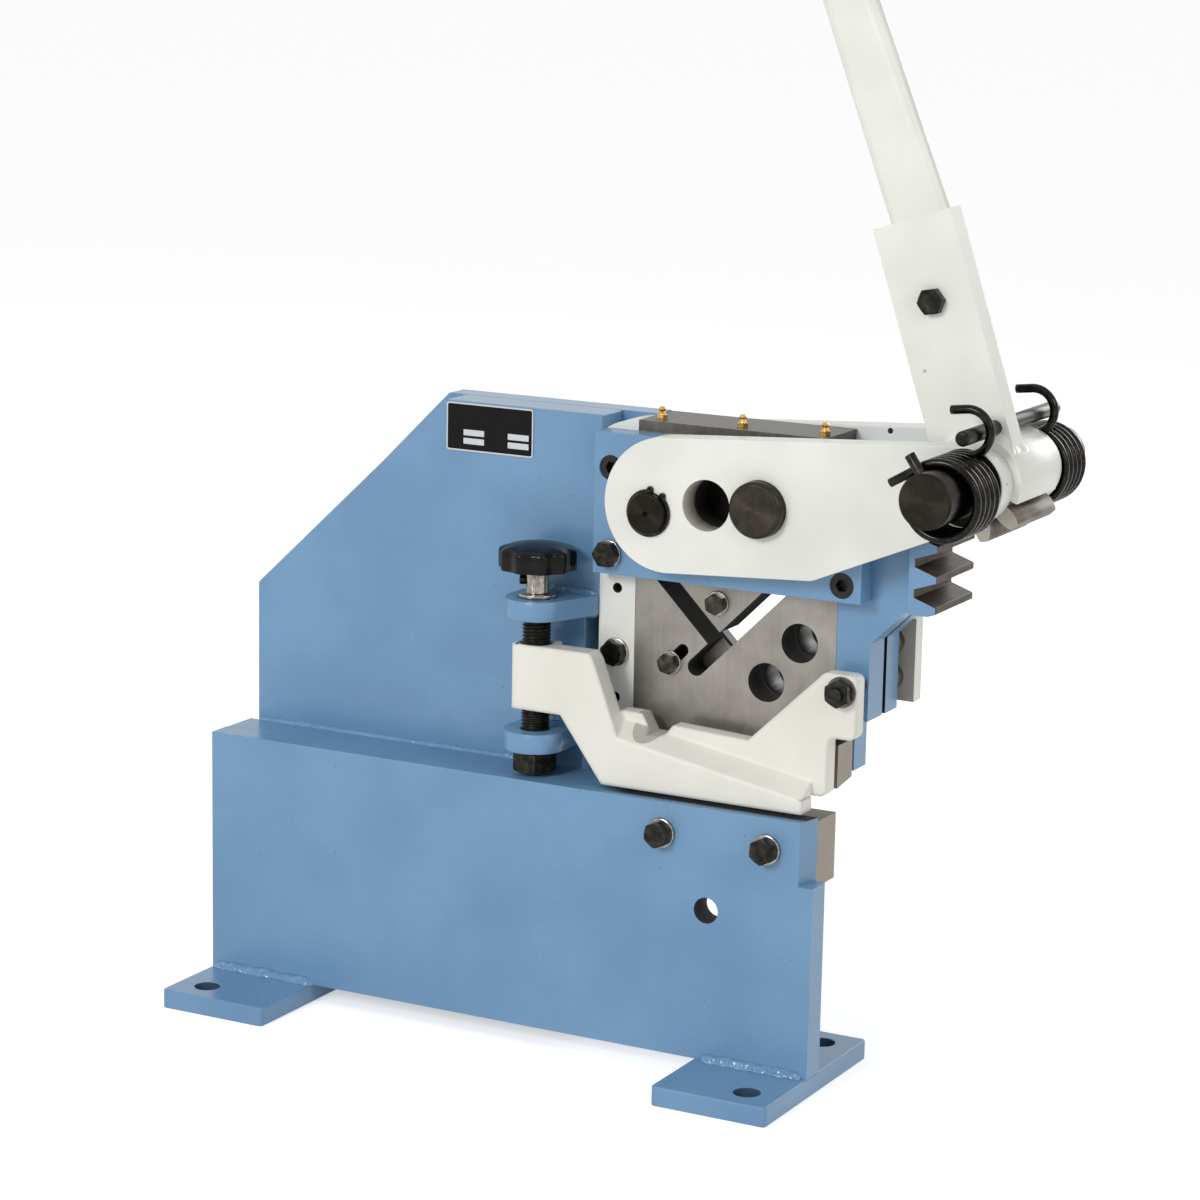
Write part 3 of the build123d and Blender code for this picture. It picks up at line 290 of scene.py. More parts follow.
foot_hole_x = 216.0
foot_hole_y = 59.5
foot_hole_radius = 9.0
foot_holes = [("Z", x, y, foot_hole_radius)
              for x in (-foot_hole_x, foot_hole_x) for y in (-foot_hole_y, foot_hole_y)]
# The walls of the foot holes are the blue paint darkened, as painted shade.
foot_enamel = enamel("blue_enamel_drilled_feet", **blue, bores=foot_holes, wall="#324A61")
dress(["left_foot", "right_foot"], foot_enamel, 2.0, 3)

# Base plate: 20 mm plate on edge across both feet, with its upper right corner milled back and a hole for a
# stop rod, whose wall is painted dark as shade. The back of its top edge is painted dark as the hold-down's
# shadow.
# Stick welds hold it to the feet along the front, and the paint runs over their lumps.
stop_hole = ("Y", 161.5, 120.0, 9.0)
# The patch is the hold-down's shadow, painted on.
hold_down_shadow_patch = ("#1C1E20", "Z", 1, (("X", 72.0, 92.0), ("Y", -14.0, -9.0), ("Z", 180.0, 181.0)))
base_enamel = enamel("blue_enamel_drilled_base", **blue, bores=[stop_hole], wall="#23282C", patch=hold_down_shadow_patch)
dress(["base_plate"], base_enamel, 0.9)
weld_blue = enamel("blue_enamel_on_weld", "#658DB2", "#7097BC", blue["speck"], 20.0, 9.0, 0.05)


def ring_faces(rows, sides, ends=False, loop=False):
    """Faces between rings of points, with both end rings closed or the last ring joined to the first."""
    faces = []
    if ends:
        faces += [tuple(reversed(range(sides))), tuple(range((rows - 1) * sides, rows * sides))]
    for k in range(rows if loop else rows - 1):
        here = k * sides
        there = (k + 1) % rows * sides
        for i in range(sides):
            n = (i + 1) % sides
            faces.append((here + i, here + n, there + n, there + i))
    return faces


def smooth_skin(piece):
    """Merges doubled points, turns every face outwards and shades the skin smooth."""
    skin = bmesh.new()
    skin.from_mesh(piece.data)
    bmesh.ops.remove_doubles(skin, verts=skin.verts, dist=0.000001)
    bmesh.ops.recalc_face_normals(skin, faces=skin.faces)
    skin.to_mesh(piece.data)
    skin.free()
    piece.data.shade_smooth()


def weld_bead(name, left, right, front, height, up, leg_mm):
    """Lumpy fillet of weld metal along a level corner of a front face and a face that looks up or down."""
    across = 8
    step_mm = 0.85
    ripple_mm = 2.6
    swell_mm = 7.0
    toe_sink = 0.0003
    root_sink = 0.0006
    seed = sum(ord(letter) for letter in name) * 0.37
    steps = round((right - left) / step_mm)
    outward = Vector((0, -1, 0))
    upward = Vector((0, 0, up))
    points = []
    for k in range(steps + 1):
        run_mm = (right - left) * k / steps
        end_mm = min(run_mm, right - left - run_mm)
        taper = min(1.0, 0.3 + 0.7 * math.sqrt(end_mm / leg_mm))
        swell = 1 + 0.28 * noise.noise(Vector((run_mm / swell_mm, seed, 0.0)))
        leg = leg_mm * taper * swell / 1000
        root = Vector((left + run_mm, front, height)) / 1000
        for j in reversed(range(across)):
            t = j / (across - 1)
            bulge = math.sin(math.pi * t)
            lump = noise.noise(Vector((run_mm / ripple_mm + 1.4 * bulge, t * 2.2, seed)))
            sink = (outward * t + upward * (1 - t)) * (toe_sink if j in (0, across - 1) else 0.0)
            skin = outward * (1 - t) + upward * t + (outward + upward) * (0.1 + 0.26 * lump) * bulge
            points.append(root + skin * leg - sink)
        points.append(root - (outward + upward) * root_sink)
    bead = build_piece(name, points, ring_faces(steps + 1, across + 1, ends=True), weld_blue)
    smooth_skin(bead)
    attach(bead, "frame")


foot_top = 14.0
base_front = -17.5
for name, left, right in (("weld_left_foot", -238.0, -152.5), ("weld_right_foot", 161.0, 236.0)):
    weld_bead(name, left, right, base_front, foot_top, 1, 5.2)

# Ledge block, body plate and main plate: flame-cut plates stacked and welded into one frame.
# The cut edges were ground before painting. The walls of the openings behind the slide are painted dark as
# shade, and so is the main plate's face where it stands a little clear of the guide column.
body_face = 32.5
ledge_top = 191.0
die_openings = [("Y", 160.0, 305.0, 66.0), ("Y", 115.0, 315.0, 40.0)]
column_gap_shade_patch = ("#121214", "Y", -1, (("X", 245.0, 246.5), ("Z", 200.0, 202.0)))
main_enamel = enamel("blue_enamel_shaded_openings", **blue, bores=die_openings, wall="#24262A",
                     wall_rough=0.42, patch=column_gap_shade_patch)
dress(["ledge_block", "body_plate"], blue_enamel, 1.0)
dress(["main_plate"], main_enamel, 1.0)
weld_bead("weld_body_foot", -232.0, 12.0, body_face, ledge_top, 1, 2.6)

# Data plate: a blank aluminium plate with a black field and four empty boxes, stuck to the body.
# The eye gets a thin pale border, faintly brushed, round a satin black panel.
silver_sheet, tree = new_finish("anodised_aluminium")
where = add(tree, "TexCoord").outputs["Object"]
# Real brush lines are finer than these, which are as fine as the picture can show.
brush_mm = 0.8
brush_long_mm = 30.0
brush_scale = (1000 / brush_long_mm, 1000 / brush_long_mm, 1000 / brush_mm)
stretch = add(tree, "VectorMath", {0: where, 1: brush_scale}, operation="MULTIPLY")
brush = add(tree, "TexNoise", {"Vector": stretch.outputs[0], "Scale": 1.0, "Detail": 2.0})
rough = add(tree, "MapRange", {"Value": brush.outputs["Fac"], "To Min": 0.3, "To Max": 0.5})
metal = add(tree, "BsdfPrincipled", {
    "Base Color": linear("#B9BBBD"), "Metallic": 1.0, "Roughness": rough.outputs["Result"]})
add(tree, "OutputMaterial", {"Surface": metal.outputs[0]})
black_field, tree = new_finish("black_lacquer")
where = add(tree, "TexCoord").outputs["Object"]
dust_mm = 6.0
dust = add(tree, "TexNoise", {"Vector": where, "Scale": 1000 / dust_mm, "Detail": 4.0})
rough = add(tree, "MapRange", {"Value": dust.outputs["Fac"], "To Min": 0.28, "To Max": 0.45})
tone = add(tree, "Mix", {0: dust.outputs["Fac"], 6: linear("#080809"), 7: linear("#111112")},
           data_type="RGBA")
lacquer = add(tree, "BsdfPrincipled", {
    "Base Color": tone.outputs[2], "Roughness": rough.outputs["Result"], "Specular IOR Level": 0.12})
add(tree, "OutputMaterial", {"Surface": lacquer.outputs[0]})


def sheet_plate(name, left, low, right, high, front, back, corner_mm, finish):
    """Thin upright plate with rounded corners on the frame, by its sides in millimetres."""
    outline = []
    for x, z, start in ((right, high, 0), (left, high, 90), (left, low, 180), (right, low, 270)):
        cx = x - corner_mm if x == right else x + corner_mm
        cz = z - corner_mm if z == high else z + corner_mm
        for i in range(7):
            angle = math.radians(start + 15 * i)
            outline.append((cx + corner_mm * math.cos(angle), cz + corner_mm * math.sin(angle)))
    count = len(outline)
    points = [Vector((x, y, z)) / 1000 for y in (front, back) for x, z in outline]
    faces = [tuple(range(count)), tuple(reversed(range(count, 2 * count)))]
    faces += [((i + 1) % count, i, i + count, (i + 1) % count + count) for i in range(count)]
    plate = build_piece(name, points, faces, finish)
    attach(plate, "frame")


plate_left = -74.5
plate_right = -5.0
plate_low = 407.0
plate_high = 441.0
plate_border = 1.1
plate_front = body_face - 0.8
field_front = plate_front - 0.15
box_front = field_front - 0.05
sheet_plate("data_plate", plate_left, plate_low, plate_right, plate_high,
            plate_front, body_face + 0.1, 2.0, silver_sheet)
sheet_plate("data_plate_field", plate_left + plate_border, plate_low + plate_border,
            plate_right - plate_border, plate_high - plate_border,
            field_front, plate_front + 0.1, 1.2, black_field)
box_wide = 16.6
box_tall = 4.2
for name, left, high in (
    ("data_plate_box_1", -60.6, 422.4),
    ("data_plate_box_2", -60.6, 416.4),
    ("data_plate_box_3", -25.0, 422.4),
    ("data_plate_box_4", -25.0, 416.4),
):
    sheet_plate(name, left, high - box_tall, left + box_wide, high,
                box_front, field_front + 0.05, 0.4, silver_sheet)


# Slide, die plate and blades: tool steel, surface-ground along the slide's travel.
# The eye gets a dull warm grey with fine upright lines and oily smears; the dark walls and edges are painted
# shade.
# The slide's face is painted black as shade where the arms' sight hole shows it, beside the drive pin.
def ground_steel(name, dull, bright, wall, line_mm, matt_shaded_walls=False, marks=()):
    """Ground tool steel between two tones, with a third tone on faces that are square to the grinding.

    A dark third tone is painted shade. Those with matt shaded walls are matt and no metal there, and marks
    are rounds of painted shade on the face. Real grinding lines are too fine to show, so line_mm is several
    times their spacing."""
    finish, tree = new_finish(name)
    where = add(tree, "TexCoord").outputs["Object"]
    line_long_mm = 80.0
    stretch = add(tree, "VectorMath", {0: where, 1: (1000 / line_mm, 1000 / line_mm, 1000 / line_long_mm)},
                  operation="MULTIPLY")
    lines = add(tree, "TexNoise", {"Vector": stretch.outputs[0], "Scale": 1.0, "Detail": 3.0})
    smear_mm = 42.0
    smear = add(tree, "TexNoise",
                {"Vector": where, "Scale": 1000 / smear_mm, "Detail": 6.0, "Roughness": 0.62})
    both = add(tree, "Mix", {0: 0.8, 2: lines.outputs["Fac"], 3: smear.outputs["Fac"]}, data_type="FLOAT")
    tone = add(tree, "ValToRGB", {"Fac": both.outputs[0]})
    set_ends(tone.color_ramp, (0.34, dull), (0.66, bright))
    facing = add(tree, "SeparateXYZ", {0: add(tree, "NewGeometry").outputs["Normal"]})
    square = add(tree, "Math", {0: facing.outputs["Y"]}, operation="ABSOLUTE")
    inside = add(tree, "MapRange", {
        "Value": square.outputs[0], "From Min": 0.35, "From Max": 0.75, "To Min": 1.0, "To Max": 0.0})
    coat = add(tree, "Mix", {0: inside.outputs["Result"], 6: tone.outputs["Color"], 7: linear(wall)},
               data_type="RGBA").outputs[2]
    relief = add(tree, "Bump", {"Height": lines.outputs["Fac"], "Strength": 0.12, "Distance": 0.0002})
    rough = add(tree, "MapRange", {"Value": smear.outputs["Fac"], "To Min": 0.32, "To Max": 0.55})
    metallic = 0.85
    sockets = {
        "Base Color": paint_shade_rounds(tree, where, coat, marks),
        "Metallic": metallic,
        "Roughness": rough.outputs["Result"],
        "Normal": relief.outputs["Normal"],
    }
    if matt_shaded_walls:
        bare = add(tree, "MapRange", {"Value": inside.outputs["Result"], "To Min": metallic, "To Max": 0.0})
        dull_wall = add(tree, "Math", {0: rough.outputs["Result"], 1: inside.outputs["Result"]},
                        operation="MAXIMUM")
        sockets["Metallic"] = bare.outputs["Result"]
        sockets["Roughness"] = dull_wall.outputs[0]
    steel = add(tree, "BsdfPrincipled", sockets)
    add(tree, "OutputMaterial", {"Surface": steel.outputs[0]})
    return finish


peep_x = 147.3
peep_z = 394.6
peep_radius = 17.25
# The round on the slide's face behind the sight hole is painted shade.
sight_hole_shade = (peep_x, peep_z, peep_radius + 4.0)
# The third tone, near black, is painted shade on walls and edges.
tool_grey = ("#7D7973", "#9B9790", "#24211E", 0.9)
slide_steel = ground_steel("ground_tool_steel", *tool_grey, matt_shaded_walls=True, marks=[sight_hole_shade])
blade_steel = ground_steel("blade_steel", "#857E75", "#A29B91", "#8B8378", 1.6)
dress(["slide_plate"], slide_steel, 0.4)
dress(["die_plate"], slide_steel, 0.25)
dress(["lower_blade", "upper_blade"], blade_steel, 0.3)


# Bar bushes: two hardened rings behind the bar bores, shrunk on to the back of the main plate.
# They carry a long bar on its way out, and their walls close the slanting view through the bores.
# The eye gets the slide's grey again, its dark wall tone of painted shade left metal, so that each wall
# shows a bright crescent.
def turned(profile, middle, along, sides):
    """Points and faces of a turned piece from its profile of radius and height, in millimetres."""
    forward = Vector(along).normalized()
    side = forward.orthogonal().normalized()
    other = forward.cross(side)
    points = []
    for radius, height in profile:
        for i in range(sides):
            angle = 2 * math.pi * i / sides
            reach = side * math.cos(angle) + other * math.sin(angle)
            points.append((Vector(middle) + reach * radius + forward * height) / 1000)
    return points, ring_faces(len(profile), sides)


bush_steel = ground_steel("hardened_die_steel", *tool_grey)
main_back = 81.5
bush_bore = 13.8
bush_outer = 18.5
bush_long = 10.0
bush_seat = -0.2
bush_section = [(bush_bore, bush_seat), (bush_outer, bush_seat), (bush_outer, bush_long - 0.8),
                (bush_outer - 0.8, bush_long), (bush_bore + 0.6, bush_long), (bush_bore, bush_long - 0.6),
                (bush_bore, bush_seat)]
for name, x, z in (("upper_bar_bush", 202.0, 300.5), ("lower_bar_bush", 178.0, 270.5)):
    bush = build_piece(name, *turned(bush_section, (x, main_back, z), (0, 1, 0), 56), bush_steel)
    smooth_skin(bush)
    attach(bush, "frame")

# Guide gib and rear guide plate: flat bars painted white before they were bolted on.
# White enamel shows faint grey clouds and a few specks of grinding dust. The gib is drilled for two dowels,
# whose dark walls are painted shade, and the rear guide's front face is painted grey as shade.
white = {"low": "#E0E1D9", "high": "#EAEAE3", "speck": "#5F5A52", "cloud_mm": 60.0, "speck_mm": 17.0,
         "rough": 0.26}
white_enamel = enamel("white_enamel", **white)
gib_x = 62.9
dowel_holes = [("Y", gib_x, z, 3.5) for z in (245.8, 323.0)]
gib_enamel = enamel("white_enamel_drilled_gib", **white, bores=dowel_holes, wall="#2A2825")
dress(["guide_gib"], gib_enamel, 0.9)
# Painted shade on the rear guide's front face.
guide_front_shade = ("#A39D92", "Y", -1, ())
guide_enamel = enamel("white_enamel_guide_shaded_front", **white, wall_rough=0.3, patch=guide_front_shade)
dress(["rear_guide"], guide_enamel, 0.9)

# Guide column and cover plate: frame plates in the frame's blue, screwed on over the slide.
# The cover's hole lines up with the arms' sight hole, and its wall and rim are painted black as shade.
cover_enamel = enamel("blue_enamel_shaded_cover_hole", **blue, bores=[("Y", peep_x, peep_z, peep_radius)],
                      wall="#121110", marks=[(peep_x, peep_z, peep_radius + 1.2)])
dress(["guide_column"], blue_enamel, 0.9)
dress(["cover_plate"], cover_enamel, 0.6)


# Bolts, screws and pins: heat-treated steel with a black oxide skin, oiled.
# The eye gets a deep brown-black with a soft gloss, and paler rubbed spots on it. The cover's socket screws
# are phosphated instead, and so are blacker and more matt.
def blackened(name, deep, worn, low, high, metal):
    """Steel between two tones, with its roughness range and how far it shows as metal."""
    finish, tree = new_finish(name)
    where = add(tree, "TexCoord").outputs["Object"]
    mottle_mm = 5.0
    mottle = add(tree, "TexNoise",
                 {"Vector": where, "Scale": 1000 / mottle_mm, "Detail": 5.0, "Roughness": 0.65})
    tone = add(tree, "ValToRGB", {"Fac": mottle.outputs["Fac"]})
    set_ends(tone.color_ramp, (0.42, deep), (0.78, worn))
    relief = add(tree, "Bump", {"Height": mottle.outputs["Fac"], "Strength": 0.1, "Distance": 0.0002})
    rough = add(tree, "MapRange", {"Value": mottle.outputs["Fac"], "To Min": low, "To Max": high})
    steel = add(tree, "BsdfPrincipled", {
        "Base Color": tone.outputs["Color"],
        "Metallic": metal,
        "Roughness": rough.outputs["Result"],
        "Normal": relief.outputs["Normal"],
    })
    add(tree, "OutputMaterial", {"Surface": steel.outputs[0]})
    return finish


black_oxide = blackened("black_oxide", "#1A1A17", "#413F38", 0.22, 0.38, 0.85)
phosphate = blackened("phosphated_steel", "#0F0E0D", "#211F1C", 0.3, 0.48, 0.4)
dress(["cover_screws"], phosphate, 0.5)
dress(["column_screws", "hold_stud", "rear_guide_bolts", "handle_nut", "upper_blade_screws",
       "pivot_rings", "anchor_rod", "cross_pins"], black_oxide, 0.5)


def hexagon(seat, along, turn, flats, height, hole=0.0, shank=0.0, depth=0.0):
    """Points and faces of a hexagon nut or bolt with its corners turned off, standing on its seat, in mm."""
    forward = Vector(along)
    side = Vector((1, 0, 0))
    other = forward.cross(side)
    count = 72
    face_circle = 0.47 * flats
    corner_fall = math.tan(math.radians(30))
    points = []
    for row in range(7):
        for i in range(count):
            degrees = 360 * i / count
            from_flat = (degrees - turn + 30) % 60 - 30
            reach = flats / 2 / math.cos(math.radians(from_flat))
            fall = (reach - face_circle) * corner_fall
            if hole:
                radius, rise = ((hole, height), (face_circle, height), (reach, height - fall), (reach, fall),
                                (face_circle, 0.0), (hole, 0.0), (hole, height))[row]
            else:
                radius, rise = ((0.0, height), (face_circle, height), (reach, height - fall), (reach, 0.0),
                                (shank, 0.0), (shank, -depth), (0.0, -depth))[row]
            angle = math.radians(degrees)
            out = side * math.cos(angle) + other * math.sin(angle)
            points.append((Vector(seat) + out * radius + forward * rise) / 1000)
    return points, ring_faces(7, count)


def fastener(name, node, shapes, finish, body):
    """One piece of all the bolts, nuts or washers that a node holds."""
    points = []
    faces = []
    for shape_points, shape_faces in shapes:
        faces += [tuple(i + len(points) for i in face) for face in shape_faces]
        points += shape_points
    piece = build_piece(name, points, faces, finish)
    smooth_skin(piece)
    piece.data.set_sharp_from_angle(angle=math.radians(18))
    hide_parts(node)
    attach(piece, body)


to_front = (0, -1, 0)
blade_bolts_x = (126.5, 205.5)
blade_bolt_z = 169.5
gib_bolt_z = 278.0
cover_bolt_x = 65.35
cover_bolt_z = 350.4
spindle_x = 15.6
spindle_y = 4.0
blade_heads = [hexagon((x, -20.0, blade_bolt_z), to_front, turn, 16.4, 7.5, shank=6.0, depth=40.5)
               for x, turn in zip(blade_bolts_x, (-8.0, -4.0))]
gib_head = hexagon((gib_x, 30.5, gib_bolt_z), to_front, 12.0, 16.2, 6.4, shank=5.0, depth=45.0)
cover_head = hexagon((cover_bolt_x, 12.5, cover_bolt_z), to_front, 30.0, 16.2, 6.4, shank=5.0, depth=39.2)
handle_head = hexagon((293.4, 22.5, 539.3), to_front, 40.0, 16.0, 6.4, shank=5.0, depth=41.0)
hold_nut = hexagon((245.3, 5.4, 277.5), to_front, 2.0, 16.6, 8.0, hole=5.0)
spindle_nut = hexagon((spindle_x, spindle_y, 193.7), (0, 0, 1), 30.0, 30.0, 15.5, hole=8.6)
for name, node, shapes, body in (
    ("lower_blade_hex_bolts", "lower_blade_bolts", blade_heads, "frame"),
    ("gib_hex_bolt", "gib_bolt", [gib_head], "frame"),
    ("cover_hex_bolt", "cover_bolt", [cover_head], "frame"),
    ("handle_hex_bolt", "handle_bolt", [handle_head], "handle"),
    ("hold_down_hex_nut", "hold_nut", [hold_nut], "frame"),
    ("spindle_hex_nut", "spindle_nut", [spindle_nut], "spindle"),
):
    fastener(name, node, shapes, black_oxide, body)

# Spacers: cut lengths of mild steel tube and bar, dulled by oil.
# The eye gets a mid grey, less dark than the heads that sit on them.
dull_steel = blackened("stamped_steel", "#57534D", "#837D75", 0.3, 0.5, 0.8)
dress(["hold_washers", "rear_guide_spacers"], dull_steel, 0.3)

# Washers, the knife bolts in the slide and the knob's collar: zinc-plated steel.
# The eye gets a pale, slightly warm metal with soft reflections. The knife bolts' plating has gone dull
# and dark under the slide's oil.
zinc_plate = blackened("zinc_plated_steel", "#85807A", "#C6C1B8", 0.16, 0.32, 1.0)
dress(["knife_washers", "knob_collar"], zinc_plate, 0.5)
blade_seats = [(x, -17.5, blade_bolt_z) for x in blade_bolts_x]
for name, node, seats, hole, outer, thick in (
    ("lower_blade_flat_washers", "lower_blade_washers", blade_seats, 6.3, 10.5, 2.5),
    ("gib_flat_washer", "gib_washer", [(gib_x, 32.5, gib_bolt_z)], 5.3, 10.0, 2.0),
    ("cover_flat_washer", "cover_washer", [(cover_bolt_x, 14.5, cover_bolt_z)], 5.3, 9.6, 2.0),
):
    section = [(hole, 0.0), (outer - 0.4, 0.0), (outer, 0.4), (outer, thick - 0.8),
               (outer - 0.25, thick - 0.25), (outer - 0.8, thick), (hole, thick), (hole, 0.0)]
    rings = [turned(section, seat, to_front, 48) for seat in seats]
    fastener(name, node, rings, zinc_plate, "frame")
dulled_zinc = blackened("dulled_zinc_plate", "#2E2B27", "#58534C", 0.2, 0.36, 1.0)
knife_heads = [hexagon((x, 31.05, z), to_front, turn, 13.0, 5.3, shank=4.0, depth=24.3)
               for x, z, turn in ((140.0, 321.0, 8.0), (105.0, 275.5, 20.0))]
fastener("knife_hex_bolts", "knife_bolts", knife_heads, dulled_zinc, "slide")

# Top bridge: a bare steel strip across the frame above the slide's way, drilled for the grease nipples.
# The eye gets a dull dark grey, because grease from the nipples has spread over it.
bridge_steel = blackened("bare_greased_steel", "#5A5751", "#6F6B65", 0.34, 0.5, 0.8)
dress(["top_bridge"], bridge_steel, 0.6)

# Grease nipples: turned brass, a hexagon below a button head, screwed into the bridge.
# The eye gets warm yellow metal, browner where the air has dulled it.
brass = blackened("turned_brass", "#BD8F42", "#F2D595", 0.18, 0.32, 1.0)
dress(["grease_nipples"], brass, 0.25)


# Rack and pinion: milled from carbon steel; the rack's sides are painted with the frame, its teeth are bare.
# The eye gets brown-grey flanks with fine lines along the teeth and stained blotches.
def milled_teeth(name, dull, bright, sawn_end, painted):
    """Milled steel, with the frame's blue on the faces that don't look to the right where it is painted."""
    finish, tree = new_finish(name)
    where = add(tree, "TexCoord").outputs["Object"]
    # A real cutter's lines are finer than these, which are as fine as the picture can show.
    cut_mm = 1.1
    cut_long_mm = 50.0
    stretch = add(tree, "VectorMath", {0: where, 1: (1000 / cut_mm, 1000 / cut_long_mm, 1000 / cut_mm)},
                  operation="MULTIPLY")
    cuts = add(tree, "TexNoise", {"Vector": stretch.outputs[0], "Scale": 1.0, "Detail": 3.0})
    stain_mm = 14.0
    stain = add(tree, "TexNoise", {"Vector": where, "Scale": 1000 / stain_mm, "Detail": 5.0})
    both = add(tree, "Mix", {0: 0.6, 2: cuts.outputs["Fac"], 3: stain.outputs["Fac"]}, data_type="FLOAT")
    tone = add(tree, "ValToRGB", {"Fac": both.outputs[0]})
    set_ends(tone.color_ramp, (0.36, dull), (0.64, bright))
    facing = add(tree, "SeparateXYZ", {0: add(tree, "NewGeometry").outputs["Normal"]})
    endwise = add(tree, "Math", {0: facing.outputs["Y"]}, operation="ABSOLUTE")
    sawn = add(tree, "MapRange", {"Value": endwise.outputs[0], "From Min": 0.5, "From Max": 0.8})
    teeth = add(tree, "Mix", {0: sawn.outputs["Result"], 6: tone.outputs["Color"], 7: linear(sawn_end)},
                data_type="RGBA").outputs[2]
    relief = add(tree, "Bump", {"Height": cuts.outputs["Fac"], "Strength": 0.15, "Distance": 0.0003})
    metallic = 0.8
    sockets = {
        "Base Color": teeth,
        "Metallic": metallic,
        "Roughness": 0.46,
        "Normal": relief.outputs["Normal"],
    }
    if painted:
        bare = add(tree, "MapRange",
                   {"Value": facing.outputs["X"], "From Min": 0.12, "From Max": 0.2}).outputs["Result"]
        coat = add(tree, "Mix", {0: bare, 6: linear("#6F94BA"), 7: teeth}, data_type="RGBA")
        metal = add(tree, "Math", {0: bare, 1: metallic}, operation="MULTIPLY")
        sockets["Base Color"] = coat.outputs[2]
        sockets["Metallic"] = metal.outputs[0]
    steel = add(tree, "BsdfPrincipled", sockets)
    add(tree, "OutputMaterial", {"Surface": steel.outputs[0]})
    return finish


rack_teeth = milled_teeth("painted_rack_steel", "#2B2520", "#574E45", "#5A534B", True)
pinion_teeth = milled_teeth("milled_steel", "#4E4841", "#7D756B", "#A9A59B", False)
dress(["rack"], rack_teeth, 0.6)
dress(["pinion_segment"], pinion_teeth, 0.5)

# Eyes of the hold-down's spindle: flame-cut lugs in the frame's blue, bored for the spindle.
# They are welded to the body's face along their top and underside.
dress(["upper_eye", "lower_eye"], blue_enamel, 1.8)
eye_thick = 14.0
for name, low, left, right in (("upper_eye", 302.5, -4.6, 47.8), ("lower_eye", 209.3, -4.6, 35.8)):
    weld_bead(f"weld_{name}_top", left, right, body_face, low + eye_thick, 1, 3.2)
    weld_bead(f"weld_{name}_under", left, right, body_face, low, -1, 3.2)


# Pivot pin, drive pin and toggle shaft: turned alloy steel, blackened, with faced ends.
# The eye gets dark discs with fine rings and a sheen that fans out from the middle.
def turned_steel(name, axis_x, axis_z, deep, worn, centre_shade_mm):
    """Blackened turned steel with rings about an axis along Y and a black spot of painted shade, of a set
    radius, for a centre-drilled hole.
    """
    finish, tree = new_finish(name)
    where = add(tree, "TexCoord").outputs["Object"]
    radius = from_axis(tree, where, "Y", axis_x, axis_z)
    # Real rings from the lathe are finer than these, which are as fine as the picture can show.
    ring_mm = 1.1
    phase = add(tree, "Math", {0: radius, 1: 2000 * math.pi / ring_mm}, operation="MULTIPLY")
    rings = add(tree, "Math", {0: phase.outputs[0]}, operation="SINE")
    mottle_mm = 6.0
    mottle = add(tree, "TexNoise", {"Vector": where, "Scale": 1000 / mottle_mm, "Detail": 5.0})
    tone = add(tree, "Mix", {0: mottle.outputs["Fac"], 6: linear(deep), 7: linear(worn)}, data_type="RGBA")
    spot = add(tree, "Math", {0: radius, 1: centre_shade_mm / 1000}, operation="LESS_THAN")
    coat = add(tree, "Mix", {0: spot.outputs[0], 6: tone.outputs[2], 7: linear("#080807")},
               data_type="RGBA")
    relief = add(tree, "Bump", {"Height": rings.outputs[0], "Strength": 0.06, "Distance": 0.0002})
    fan = add(tree, "Tangent", direction_type="RADIAL", axis="Y")
    steel = add(tree, "BsdfPrincipled", {
        "Base Color": coat.outputs[2],
        "Metallic": 0.95,
        "Roughness": 0.34,
        "Anisotropic": 0.8,
        "Tangent": fan.outputs[0],
        "Normal": relief.outputs["Normal"],
    })
    add(tree, "OutputMaterial", {"Surface": steel.outputs[0]})
    return finish


pivot_x = 105.0
pivot_z = 385.5
drive_x = 187.0
drive_z = 396.5
shaft_x = 331.5
shaft_z = 425.5
# The pivot pin's centre-drilled hole is a black spot of painted shade.
for node, x, z, deep, worn, centre_shade_mm, rounding_mm in (
    ("pivot_pin", pivot_x, pivot_z, "#191613", "#2A2621", 1.9, 0.4),
    ("drive_pin", drive_x, drive_z, "#26231F", "#443F38", 0.0, 0.5),
    ("toggle_shaft", shaft_x, shaft_z, "#1C1916", "#322E28", 0.0, 0.6),
):
    dress([node], turned_steel(f"turned_{node}", x, z, deep, worn, centre_shade_mm), rounding_mm)

# Ears of the retaining rings: the small holed ends that the pliers take hold of, in black spring steel.
# They stand out beside the split, at the upper right of the pin.
ear_circle = 16.2
ear_section = [(0.9, 0.0), (2.1, 0.0), (2.3, 0.2), (2.3, 1.8), (2.1, 2.0), (0.9, 2.0), (0.9, 0.0)]
for name, front, degrees in (
    ("ring_ear_1", -6.6, 50.0),
    ("ring_ear_2", -6.6, 86.0),
    ("ring_ear_3", 100.6, 50.0),
    ("ring_ear_4", 100.6, 86.0),
):
    at = math.radians(degrees)
    middle = (pivot_x + ear_circle * math.cos(at), front, pivot_z + ear_circle * math.sin(at))
    ear = build_piece(name, *turned(ear_section, middle, (0, 1, 0), 16), black_oxide)
    smooth_skin(ear)
    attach(ear, "frame")

# Arms: two flame-cut levers of 18 mm plate, painted white, and bored together afterwards.
# Their sight holes are bare steel inside. The paint behind the springs' coils is painted black as shade,
# and the rear arm's small oil hole is a black round of painted shade.
coil_hang = 3.3
sight_hole = ("Y", peep_x, peep_z, peep_radius)
bored = {"bores": [sight_hole], "wall": "#C9C4BA", "wall_rough": 0.3}
coil_shade = [(shaft_x, shaft_z, 24.9), (shaft_x, shaft_z - coil_hang, 22.9)]
oil_hole_shade = (241.2, 442.2, 2.0)
arm_enamel = enamel("white_enamel_bored_arms", **white, **bored, marks=coil_shade)
rear_arm_enamel = enamel("white_enamel_shaded_rear_arm", **white, **bored, marks=coil_shade + [oil_hole_shade])
dress(["front_arm"], arm_enamel, 1.0)
dress(["rear_arm"], rear_arm_enamel, 1.0)

